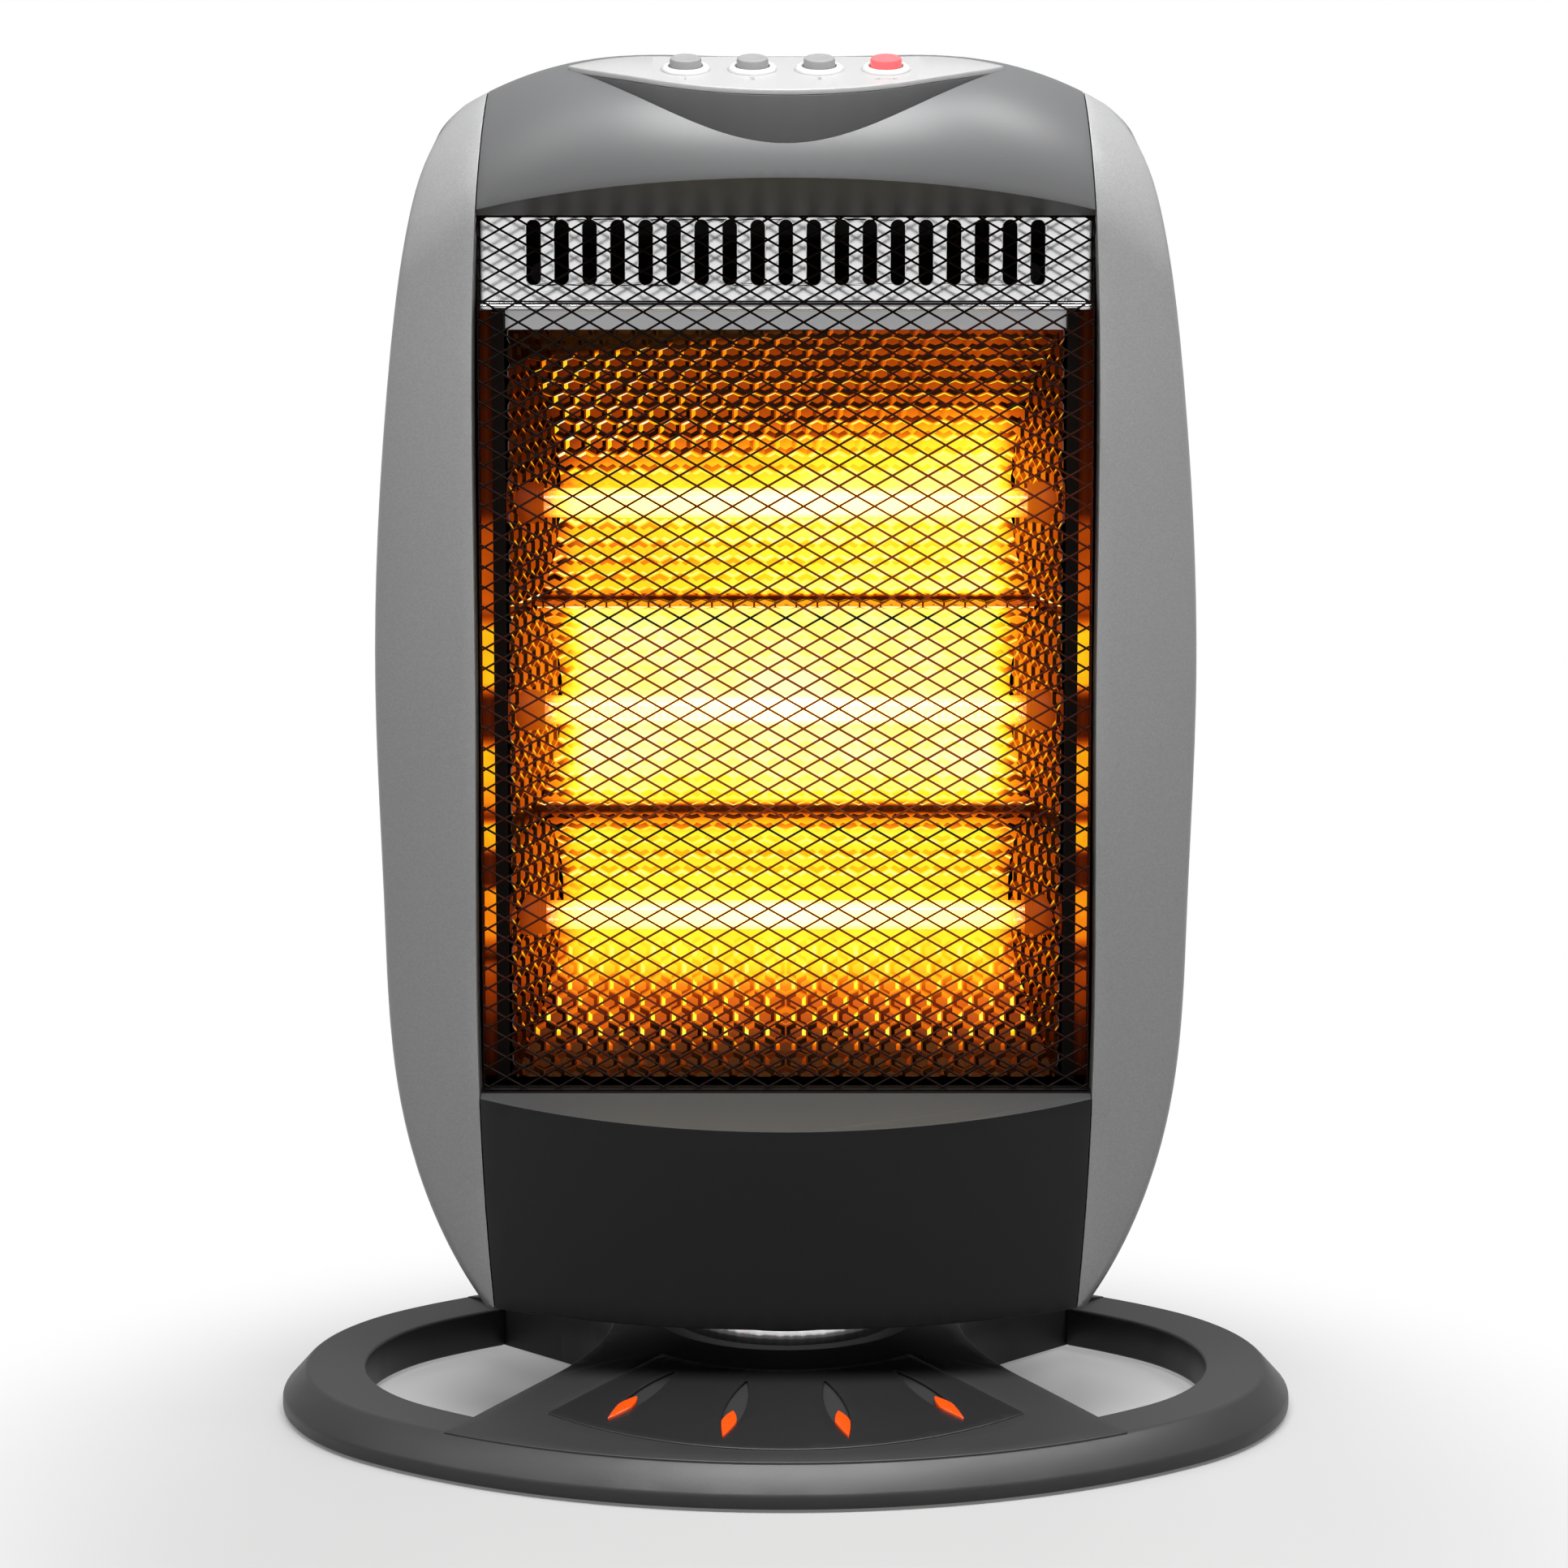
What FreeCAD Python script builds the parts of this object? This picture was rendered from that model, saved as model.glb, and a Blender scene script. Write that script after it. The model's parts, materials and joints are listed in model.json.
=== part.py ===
import FreeCAD, Part
import math
import os
import re
from types import SimpleNamespace
from FreeCAD import Placement, Rotation, Vector

# Free-standing quartz heater. Millimetres, +Z up, front towards -Y, origin on the floor under the spindle.

# Driving dimensions: alias, value, meaning.
SIZES = (
    ("overrun", 2.0, "how far every cut runs past the face that it opens"),
    ("seam", 0.4, "gap between two neighbouring mouldings"),
    ("running", 0.06, "radial clearance of a turning or sliding fit"),
    ("rest_gap", 0.3, "gap between a loose piece and its seat"),

    ("base_length", 350.0, "base, left to right"),
    ("base_depth", 258.0, "base, front to back"),
    ("base_end_radius", 100.0, "radius of the base outline at its left and right ends"),
    ("ground_gap", 1.0, "floor to the lower edge of the base ring"),
    ("ring_wall_height", 5.7, "top of the ring's upright wall above the floor"),
    ("ring_bevel_width", 8.3, "width of the bevel round the ring"),
    ("ring_bevel_height", 9.3, "rise of the bevel round the ring"),
    ("ring_top_width", 20.6, "width of the ring's flat top"),
    ("base_skin", 2.4, "wall of the base mouldings"),
    ("foot_radius", 7.0, "rubber foot"),
    ("foot_share", 0.84, "place of a foot, as a share of the end arc's half turn"),

    ("crown_height", 32.0, "top of the bridge above the floor"),
    ("crown_radius", 45.0, "flat round seat on top of the bridge"),
    ("neck_half_width", 60.0, "half width of the bridge at the spindle"),
    ("neck_radius", 70.0, "hollow curve at the bridge's sides"),
    ("flare_angle", 44.0, "how far the bridge's sides flare, degrees"),

    ("inlay_inner_share", 0.4574, "inner arc of the fan-shaped inlay, as a share of the base's half depth"),
    ("inlay_outer_share", 0.8721, "outer arc of the fan-shaped inlay, as a share of the base's half depth"),
    ("inlay_half_angle", 45.6, "half the inlay's fan, degrees"),
    ("inlay_depth", 0.9, "recess that the inlay lies in"),
    ("inlay_proud", 0.3, "inlay above the bridge's surface"),
    ("leaf_inner_share", 0.5155, "inner tip of a leaf-shaped recess, as a share of the base's half depth"),
    ("leaf_outer_share", 0.8256, "outer tip of a leaf-shaped recess, as a share of the base's half depth"),
    ("seed_inner_share", 0.69, "inner tip of an orange insert, as a share of the base's half depth"),
    ("leaf_half_width", 3.5, "half width of a leaf-shaped recess"),
    ("seed_half_width", 2.7, "half width of an orange insert"),
    ("leaf_pitch", 22.8, "angle between two leaves, degrees"),
    ("leaf_proud", 1.1, "orange insert above the bridge's surface"),

    ("disc_radius", 39.0, "swivel disc"),
    ("disc_top_radius", 36.0, "swivel disc at its upper edge"),
    ("disc_rim_height", 5.0, "straight part of the swivel disc's rim"),
    ("disc_height", 8.0, "swivel disc"),
    ("swivel_screw_radius", 1.6, "shank of a swivel screw"),
    ("swivel_screw_circle", 26.0, "circle of the swivel screws"),
    ("swivel_screw_grip", 5.0, "screw length inside the swivel disc"),
    ("spindle_radius", 8.0, "outside of the hollow spindle"),
    ("spindle_bore_radius", 4.0, "bore of the hollow spindle"),
    ("spindle_flange_radius", 15.0, "flange under the bridge"),
    ("spindle_flange_height", 2.5, "flange under the bridge"),
    ("slip_ring_inner_radius", 19.0, "slip ring"),
    ("slip_ring_outer_radius", 27.0, "slip ring"),
    ("slip_gap", 0.1, "slip ring to floor plate"),

    ("gear_module", 1.25, "tooth size of the swing drive"),
    ("gear_teeth", 36.0, "teeth of the fixed spindle gear"),
    ("pinion_teeth", 12.0, "teeth of the motor pinion"),
    ("gear_width", 6.0, "face width of the gears"),
    ("gear_lift", 0.8, "gears above the floor plate"),
    ("gear_play", 0.4, "extra centre distance for backlash"),
    ("pressure_angle", 20.0, "pressure angle of the teeth, degrees"),
    ("nut_radius", 13.0, "spindle nut over its corners"),
    ("nut_height", 4.5, "spindle nut"),
    ("spindle_stub", 2.0, "spindle above its nut"),
    ("pinion_shaft_radius", 2.5, "motor shaft"),
    ("pinion_shaft_grip", 8.0, "motor shaft inside the motor"),

    ("plunger_foot_radius", 9.0, "tip-over plunger's foot"),
    ("plunger_foot_height", 5.0, "tip-over plunger's foot"),
    ("plunger_travel", 5.0, "drop of the tip-over plunger"),
    ("plunger_collar_radius", 6.0, "stop collar on the plunger"),
    ("plunger_collar_height", 2.5, "stop collar on the plunger"),
    ("tip_switch_length", 20.0, "tip-over switch"),
    ("tip_switch_width", 6.5, "tip-over switch"),
    ("tip_switch_height", 10.0, "tip-over switch"),
    ("bracket_sheet", 2.0, "sheet of the two brackets on the floor plate"),
    ("tip_bracket_half_span", 29.0, "tip-over switch bracket"),
    ("tip_bracket_width", 9.0, "tip-over switch bracket"),

    ("motor_radius", 22.0, "oscillation motor"),
    ("motor_height", 16.0, "oscillation motor"),
    ("motor_boss_radius", 4.5, "shaft boss of the motor"),
    ("motor_bracket_half_span", 30.0, "motor bracket"),
    ("motor_bracket_depth", 34.0, "motor bracket"),
    ("motor_bracket_clearance", 4.0, "underside of the motor bracket above the gears"),
    ("motor_screw_radius", 1.5, "motor screw"),
    ("motor_screw_head_radius", 2.9, "motor screw"),
    ("motor_screw_half_span", 25.5, "place of a motor screw beside the motor's axis"),
    ("motor_ear_height", 1.5, "ears of the motor"),
    ("motor_ear_width", 8.0, "ears of the motor"),

    ("head_half_width", 139.8, "head at its widest"),
    ("head_bottom", 46.0, "lower edge of the head above the floor"),
    ("head_top", 471.5, "top of the head above the floor"),
    ("head_front", 70.0, "front of the head ahead of the spindle"),
    ("head_back", 60.0, "back of the head behind the spindle"),
    ("head_split", 22.0, "seam of the rear cover behind the spindle"),
    ("front_bow_radius", 190.0, "bow of the front, seen from above"),
    ("top_flat_half_width", 44.0, "level middle of the top, seen from the front"),
    ("top_end_radius", 115.0, "rounding of the top towards its sides, seen from the front"),
    ("top_fall", 8.0, "fall of the top towards the back, degrees"),
    ("shoulder_radius", 40.0, "shoulder between front and top"),
    ("shell_wall", 2.5, "wall of the head's mouldings"),
    ("side_edge_round", 6.0, "rounding of the side panels' front edge"),
    ("rear_edge_round", 6.0, "rounding of the rear cover's edge"),
    ("centre_half_width", 104.0, "half width of the covers between the side panels"),
    ("return_wall", 2.0, "inner return wall of a side panel"),
    ("return_back", 12.0, "rear edge of the return wall ahead of the spindle"),

    ("opening_top", 419.3, "upper edge of the heat opening"),
    ("opening_bottom", 119.5, "lower edge of the heat opening"),
    ("opening_plane", 34.0, "opening's edges ahead of the spindle"),
    ("upper_facet_rise", 16.5, "rise of the upper facet at the head's front"),
    ("lower_facet_fall", 4.5, "fall of the lower facet at the head's front"),
    ("lip_depth", 12.0, "lip of a cover behind the opening's edge"),

    ("pod_front", 67.0, "front of the control pod ahead of the spindle"),
    ("pod_tip_plane", 25.0, "tips of the control pod ahead of the spindle"),
    ("pod_back", 27.0, "back of the control panel ahead of the spindle"),
    ("pod_half_width", 72.4, "half width of the control pod"),
    ("pod_front_height", 464.3, "front edge of the control panel above the floor"),
    ("panel_tilt", 10.0, "tilt of the control panel, degrees"),
    ("panel_sheet", 2.0, "control panel"),
    ("button_pitch", 22.0, "spacing of the buttons"),
    ("button_setback", 24.5, "buttons behind the panel's front edge, along the panel"),
    ("button_radius", 5.2, "button cap"),
    ("button_height", 4.2, "button cap above the panel"),
    ("button_skirt", 3.0, "button cap below the panel's face"),
    ("button_travel", 3.0, "stroke of a button"),
    ("button_stem_radius", 2.5, "button stem"),
    ("button_stem_length", 9.0, "button stem"),
    ("collar_radius", 8.2, "button collar"),
    ("collar_height", 1.5, "button collar"),
    ("switch_width", 16.0, "switch bank"),
    ("switch_height", 14.0, "switch bank"),
    ("switch_depth", 9.0, "top of the switch bank below the panel's face"),
    ("switch_post_radius", 2.5, "posts that hang the switch bank from the panel"),

    ("guard_sheet", 0.8, "strand of the mesh guard"),
    ("guard_plane", 31.5, "mesh guard ahead of the spindle"),
    ("guard_pitch_x", 29.0, "mesh of the guard, across"),
    ("guard_pitch_z", 16.4, "mesh of the guard, upright"),
    ("guard_flange", 11.0, "bent side edge of the guard"),
    ("guard_rim", 1.6, "plain rim of the guard"),

    ("vent_bottom", 388.0, "lower edge of the vent plate"),
    ("vent_plane", 14.0, "vent plate ahead of the spindle"),
    ("vent_sheet", 0.8, "vent plate"),
    ("vent_half_width", 102.6, "vent plate"),
    ("vent_slot_count", 19.0, "slots of the vent plate"),
    ("vent_slot_pitch", 9.4, "slots of the vent plate"),
    ("vent_slot_width", 4.6, "slots of the vent plate"),
    ("vent_slot_bottom", 393.7, "lower end of the slots"),
    ("vent_slot_top", 415.5, "upper end of the slots"),
    ("rod_radius", 1.5, "bright rod under the vent plate"),

    ("tube_pitch", 71.5, "spacing of the quartz tubes"),
    ("middle_tube_height", 246.5, "middle quartz tube above the floor"),
    ("tube_plane", 3.0, "quartz tubes ahead of the spindle"),
    ("tube_length", 176.0, "quartz tube"),
    ("tube_radius", 5.0, "outside of a quartz tube"),
    ("tube_wall", 1.0, "wall of a quartz tube"),
    ("coil_radius", 2.6, "heating coil at the middle of its wire"),
    ("coil_wire_radius", 0.5, "wire of a heating coil"),
    ("coil_cold_end", 10.0, "tube's end to the glowing coil"),
    ("coil_turns", 32.0, "turns of a heating coil"),
    ("cap_radius", 7.0, "ceramic cap of a tube"),
    ("cap_length", 16.0, "ceramic cap of a tube"),
    ("cap_seat", 6.0, "tube end inside its cap"),

    ("reflector_sheet", 0.6, "reflector"),
    ("reflector_top", 378.5, "upper edge of the reflector"),
    ("reflector_bottom", 121.0, "lower edge of the reflector"),
    ("reflector_front", 15.0, "reflector's edges ahead of the spindle"),
    ("ridge_back", 2.0, "ridges between the troughs behind the spindle"),
    ("trough_back", 24.0, "deepest line of a trough behind the spindle"),
    ("cheek_front_half_width", 94.2, "reflector end at its front"),
    ("cheek_back_half_width", 78.0, "reflector end at its back"),
    ("carrier_half_width", 94.5, "inner face of a tube carrier"),
    ("carrier_width", 4.2, "tube carrier"),
    ("carrier_front", 20.0, "front of a tube carrier ahead of the spindle"),
    ("shield_back", 34.0, "heat shield behind the spindle"),
    ("shield_sheet", 0.8, "heat shield"),
    ("shield_boss_radius", 4.5, "bosses that carry the heat shield"),
    ("shield_screw_radius", 1.6, "screws of the heat shield"),
    ("shield_screw_half_span", 84.0, "screws of the heat shield, across"),
    ("screw_head_radius", 3.4, "head of a screw"),
    ("screw_head_height", 1.8, "head of a screw"),

    ("rear_screw_half_span", 112.0, "screws of the rear cover, across"),
    ("rear_screw_low", 112.0, "lower screws of the rear cover"),
    ("rear_screw_high", 392.0, "upper screws of the rear cover"),
    ("rear_boss_radius", 5.0, "boss for a screw of the rear cover"),
    ("rear_lug_depth", 8.0, "lug of a side panel"),
    ("rear_vent_count", 9.0, "rows of vents in the rear cover"),
    ("rear_vent_pitch", 14.0, "rows of vents in the rear cover"),
    ("rear_vent_height", 5.0, "one vent"),
    ("rear_vent_length", 62.0, "one vent"),
    ("rear_vent_bottom", 200.0, "lowest row of vents"),
    ("rear_vent_spread", 40.0, "middle of a column of vents beside the centre"),
    ("grip_width", 110.0, "hand grip"),
    ("grip_height", 32.0, "hand grip"),
    ("grip_depth", 20.0, "hand grip"),
    ("grip_middle", 420.0, "hand grip above the floor"),
    ("grip_wall", 2.0, "hand grip"),
    ("grip_flange", 4.0, "flange of the hand grip"),

    ("gland_place", 62.0, "cord gland beside the centre"),
    ("gland_height", 74.0, "cord gland above the floor"),
    ("gland_radius", 7.0, "cord gland in its wall"),
    ("gland_bore_radius", 3.7, "cord gland"),
    ("gland_flange_radius", 9.5, "cord gland"),
    ("gland_flange_height", 3.0, "cord gland"),
    ("block_length", 34.0, "terminal block"),
    ("block_height", 16.0, "terminal block"),
    ("block_depth", 14.0, "terminal block"),
    ("block_place", 62.0, "terminal block beside the centre"),
    ("block_bottom", 92.0, "terminal block above the floor"),
    ("cutout_radius", 8.5, "thermal cut-out"),
    ("cutout_height", 5.0, "thermal cut-out"),
    ("cutout_place", 352.0, "thermal cut-out above the floor"),
    ("lead_radius", 1.4, "insulated lead"),
    ("lead_run_place", 26.0, "leads' run to the switch bank beside the centre"),
)

# Outlines of the head seen from the front, as shares of its height and of its half width.
SIDE_SHARES = (
    (0.0, 0.737), (0.0535, 0.843), (0.141, 0.938), (0.3115, 0.983), (0.493, 1.0),
    (0.731, 0.962), (0.863, 0.907), (0.929, 0.838), (0.9685, 0.722), (1.02, 0.52),
)
CENTRE_SHARES = (
    (-0.02, 0.945), (0.08, 0.98), (0.172, 0.998), (0.5, 1.0),
    (0.83, 0.996), (0.92, 0.976), (1.02, 0.93),
)
# Curve of an outer trough from its ridge to the reflector's edge, as shares of that height and of the depth.
OUTER_TROUGH_SHARES = ((0.164, 0.8), (0.371, 1.0), (0.65, 0.66), (0.85, -0.05))
HEAD_STATIONS = 12
BUTTON_PLACES = {"button_low": -1.5, "button_medium": -0.5, "button_high": 0.5, "button_swing": 1.5}
TUBE_PLACES = {"lower": -1, "middle": 0, "upper": 1}
LEAF_PLACES = (-1.5, -0.5, 0.5, 1.5)

doc = FreeCAD.newDocument("QuartzHeater")
sheet = doc.addObject("Spreadsheet::Sheet", "Sizes")
for row, (alias, value, meaning) in enumerate(SIZES, start=1):
    sheet.set(f"A{row}", meaning)
    sheet.set(f"B{row}", str(value))
    sheet.setAlias(f"B{row}", alias)
doc.recompute()
s = SimpleNamespace(**{alias: float(getattr(sheet, alias)) for alias, _value, _meaning in SIZES})

UP = Vector(0, 0, 1)
ALONG_X = Rotation(Vector(0, 1, 0), 90)
ALONG_Y = Rotation(Vector(1, 0, 0), -90)
sub_parts = []


def bound(text):
    """Turn the aliases in an expression into references to the sheet."""
    return re.sub(r"\b[a-z]+(?:_[a-z]+)+\b|\boverrun\b|\bseam\b|\brunning\b", r"Sizes.\g<0>", text)


def primitive(kind, name, at, turn, **lengths):
    piece = doc.addObject(kind, name)
    for prop, text in lengths.items():
        piece.setExpression(prop, bound(text))
    piece.Placement = Placement(Vector(), turn)
    for axis, text in zip("xyz", at):
        piece.setExpression("Placement.Base." + axis, bound(text))
    return piece


def block(name, at, span):
    """Box with its lowest corner at a place; all six values are expressions."""
    return primitive("Part::Box", name, at, Rotation(), Length=span[0], Width=span[1], Height=span[2])


def rod(name, at, radius, length, turn=Rotation()):
    return primitive("Part::Cylinder", name, at, turn, Radius=radius, Height=length)


def formed(name, shape):
    piece = doc.addObject("Part::Feature", name)
    piece.Shape = shape
    return piece


def fused(name, pieces):
    joined = doc.addObject("Part::MultiFuse", name)
    joined.Shapes = pieces
    return joined


def grouped(name, pieces):
    group = doc.addObject("Part::Compound", name)
    group.Links = pieces
    return group


def carved(name, base, tools):
    cut = doc.addObject("Part::Cut", name)
    cut.Base = base
    cut.Tool = tools[0] if len(tools) == 1 else fused(name + "_tools", tools)
    return cut


def sub_part(label, piece):
    piece.Label = label
    sub_parts.append(piece)
    return piece


def arc(centre, radius, start, end):
    circle = Part.Circle(centre, UP, radius)
    return Part.ArcOfCircle(circle, start, end).toShape()


def prism(wire, height):
    return Part.Face(wire).extrude(Vector(0, 0, height))


def polar(radius, angle, height=0.0):
    """Point at an angle from the front (-Y) towards +X."""
    return Vector(radius * math.sin(angle), -radius * math.cos(angle), height)


# Base

RING_HEIGHT = s.ring_wall_height + s.ring_bevel_height
END_CENTRE = s.base_length / 2 - s.base_end_radius
END_RISE = s.base_depth / 2 - s.base_end_radius
FLANK_SHIFT = (END_CENTRE ** 2 - END_RISE ** 2) / (2 * END_RISE)
FLANK_RADIUS = s.base_depth / 2 + FLANK_SHIFT
ARC_TURN = math.atan2(FLANK_SHIFT, END_CENTRE)
HALF_DEPTH = s.base_depth / 2
INLAY_RADII = (s.inlay_inner_share * HALF_DEPTH, s.inlay_outer_share * HALF_DEPTH)
LEAF_RADII = (s.leaf_inner_share * HALF_DEPTH, s.leaf_outer_share * HALF_DEPTH)
SEED_RADII = (s.seed_inner_share * HALF_DEPTH, s.leaf_outer_share * HALF_DEPTH)


def four_arcs(centres, radii, height):
    """Closed wire of four arcs: right end, back flank, left end, front flank."""
    turns = (-ARC_TURN, ARC_TURN, math.pi - ARC_TURN, math.pi + ARC_TURN, 2 * math.pi - ARC_TURN)
    edges = []
    for number in range(4):
        middle = Vector(centres[number][0], centres[number][1], height)
        edges.append(arc(middle, radii[number % 2], turns[number], turns[number + 1]))
    return Part.Wire(edges)


def oval(inset, height):
    """The base outline, moved inwards by an inset."""
    centres = ((END_CENTRE, 0), (0, -FLANK_SHIFT), (-END_CENTRE, 0), (0, FLANK_SHIFT))
    return four_arcs(centres, (s.base_end_radius - inset, FLANK_RADIUS - inset), height)


def round_seat(radius, height):
    return four_arcs(((0, 0),) * 4, (radius, radius), height)


def crown(inset, lift):
    """Mound from the ring's top edge up to the bridge's round seat, raised by a lift."""
    rim = RING_HEIGHT + lift
    slope = Part.makeLoft([oval(inset, rim), round_seat(s.crown_radius, s.crown_height + lift)], True, True)
    return prism(oval(inset, s.ground_gap), rim - s.ground_gap).fuse(slope).removeSplitter()


def bridge_plan(inset, height):
    """Waisted outline of the bridge, reaching past the ring at front and back."""
    flare = math.radians(s.flare_angle)
    radius = s.neck_radius + inset
    middle = s.neck_half_width - inset + radius
    end = Vector(middle - radius * math.cos(flare), radius * math.sin(flare), 0)
    tip = end + Vector(math.sin(flare), math.cos(flare), 0) * s.base_depth
    right = Part.Arc(Vector(end.x, -end.y, 0), Vector(middle - radius, 0, 0), end).toShape()
    left = Part.Arc(Vector(-end.x, end.y, 0), Vector(radius - middle, 0, 0),
                    Vector(-end.x, -end.y, 0)).toShape()
    back = Part.makePolygon([end, tip, Vector(-tip.x, tip.y, 0), Vector(-end.x, end.y, 0)])
    front = Part.makePolygon([Vector(-end.x, -end.y, 0), Vector(-tip.x, -tip.y, 0),
                              Vector(tip.x, -tip.y, 0), Vector(end.x, -end.y, 0)])
    wire = Part.Wire([right] + back.Edges + [left] + front.Edges)
    solid = prism(wire, height + s.overrun)
    solid.translate(Vector(0, 0, -s.overrun))
    return solid


def make_base_ring():
    low = s.ground_gap
    body = prism(oval(0, low), s.ring_wall_height - low)
    bevel = Part.makeLoft([oval(0, s.ring_wall_height), oval(s.ring_bevel_width, RING_HEIGHT)], True, True)
    inner_edge = s.ring_bevel_width + s.ring_top_width
    core = prism(oval(inner_edge, -s.overrun), RING_HEIGHT + 2 * s.overrun)
    channel = prism(oval(s.ring_bevel_width + s.base_skin / 2, -s.overrun),
                    RING_HEIGHT - s.base_skin + s.overrun)
    channel = channel.cut(prism(oval(inner_edge - s.base_skin, -s.overrun), RING_HEIGHT))
    seat = bridge_plan(-s.seam / 4,
                       s.crown_height).common(prism(oval(s.ring_bevel_width, -s.overrun), s.crown_height))
    ring = body.fuse(bevel).removeSplitter().cut(core).cut(channel).cut(seat)
    return sub_part("base_ring", formed("base_ring_solid", ring))


def leaf_prism(place, radii, half_width):
    """Upright prism of one pointed leaf between two radii."""
    angle = math.radians(place * s.leaf_pitch)
    first, last = (polar(radius, angle) for radius in radii)
    side = Vector(math.cos(angle), math.sin(angle), 0) * half_width
    middle = (first + last) * 0.5
    wire = Part.Wire([Part.Arc(first, middle + side, last).toShape(),
                      Part.Arc(last, middle - side, first).toShape()])
    return prism(wire, s.crown_height + s.disc_height)


def fan_prism():
    """Upright prism of the inlay's fan."""
    half = math.radians(s.inlay_half_angle)
    inner, outer = INLAY_RADII
    inside = Part.Arc(polar(inner, -half), polar(inner, 0), polar(inner, half)).toShape()
    outside = Part.Arc(polar(outer, half), polar(outer, 0), polar(outer, -half)).toShape()
    sides = [Part.makeLine(polar(inner, half), polar(outer, half)),
             Part.makeLine(polar(outer, -half), polar(inner, -half))]
    return prism(Part.Wire([inside, sides[0], outside, sides[1]]), s.crown_height + s.disc_height)


def make_bridge():
    outside = crown(s.ring_bevel_width + s.seam / 4, 0).common(bridge_plan(0, s.crown_height))
    inside = crown(s.ring_bevel_width + s.base_skin, -s.base_skin)
    inside.translate(Vector(0, 0, -s.overrun))
    lowered = crown(s.ring_bevel_width + s.base_skin, -s.base_skin)
    hollow = inside.fuse(lowered).common(bridge_plan(s.base_skin, s.crown_height))
    recess = fan_prism().cut(crown(s.ring_bevel_width, -s.inlay_depth))
    shell = formed("bridge_shell", outside.cut(hollow).cut(recess))
    holes = [rod("bridge_spindle_hole", ("0", "0", "crown_height - base_skin - overrun"),
                 "spindle_radius", "base_skin + 2 * overrun")]
    holes += swivel_screw_rods("bridge_screw_hole", "crown_height - base_skin - overrun",
                               "base_skin + 2 * overrun")
    sub_part("base_bridge", carved("base_bridge_solid", shell, holes))


def make_inlay():
    sheet_metal = crown(s.ring_bevel_width, s.inlay_proud).cut(crown(s.ring_bevel_width, -s.inlay_depth))
    fan = sheet_metal.common(fan_prism())
    for place in LEAF_PLACES:
        fan = fan.cut(leaf_prism(place, LEAF_RADII, s.leaf_half_width))
    sub_part("bridge_inlay", formed("bridge_inlay_solid", fan))

    layer = crown(s.ring_bevel_width, s.leaf_proud).cut(crown(s.ring_bevel_width, -s.inlay_depth))
    inserts = []
    for place in LEAF_PLACES:
        recess = leaf_prism(place, LEAF_RADII, s.leaf_half_width)
        seed = leaf_prism(place, SEED_RADII, s.seed_half_width).common(recess)
        inserts.append(layer.common(seed).Solids[0])
    sub_part("accent_inserts", formed("accent_inserts_solids", Part.makeCompound(inserts)))


def make_feet():
    reach = s.base_end_radius - s.ring_bevel_width - s.ring_top_width / 2 + s.base_skin / 4
    feet = []
    for side in (-1, 1):
        for turn in (-1, 1):
            angle = s.foot_share * ARC_TURN
            foot = rod("foot", ("0", "0", "0"), "foot_radius",
                       "ring_wall_height + ring_bevel_height - base_skin")
            foot.Placement.Base = Vector(side * (END_CENTRE + reach * math.cos(angle)),
                                         turn * reach * math.sin(angle), 0)
            foot.setExpression("Placement.Base.x", None)
            foot.setExpression("Placement.Base.y", None)
            feet.append(foot)
    sub_part("rubber_feet", grouped("rubber_feet_group", feet))


# Swivel

DISC_TOP = "(crown_height + disc_height)"
PLATE_TOP = "(head_bottom + shell_wall)"
GEAR_BOTTOM = "(head_bottom + shell_wall + gear_lift)"
GEAR_TOP = "(head_bottom + shell_wall + gear_lift + gear_width)"
SPINDLE_TOP = "(head_bottom + shell_wall + gear_lift + gear_width + nut_height + spindle_stub)"
GEAR_CENTRES = "(gear_module * (gear_teeth + pinion_teeth) / 2 + gear_play)"
SWIVEL_SCREWS = 3
SWIVEL_SCREW_TURN = 30
ROOT_FACTOR = 1.25


def swivel_screw_rods(name, bottom, length, radius="swivel_screw_radius"):
    rods = []
    for number in range(SWIVEL_SCREWS):
        turn = 360 * number / SWIVEL_SCREWS + SWIVEL_SCREW_TURN
        at = (f"swivel_screw_circle * sin({turn} deg)", f"swivel_screw_circle * cos({turn} deg)", bottom)
        rods.append(rod(name, at, radius, length))
    return rods


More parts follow.
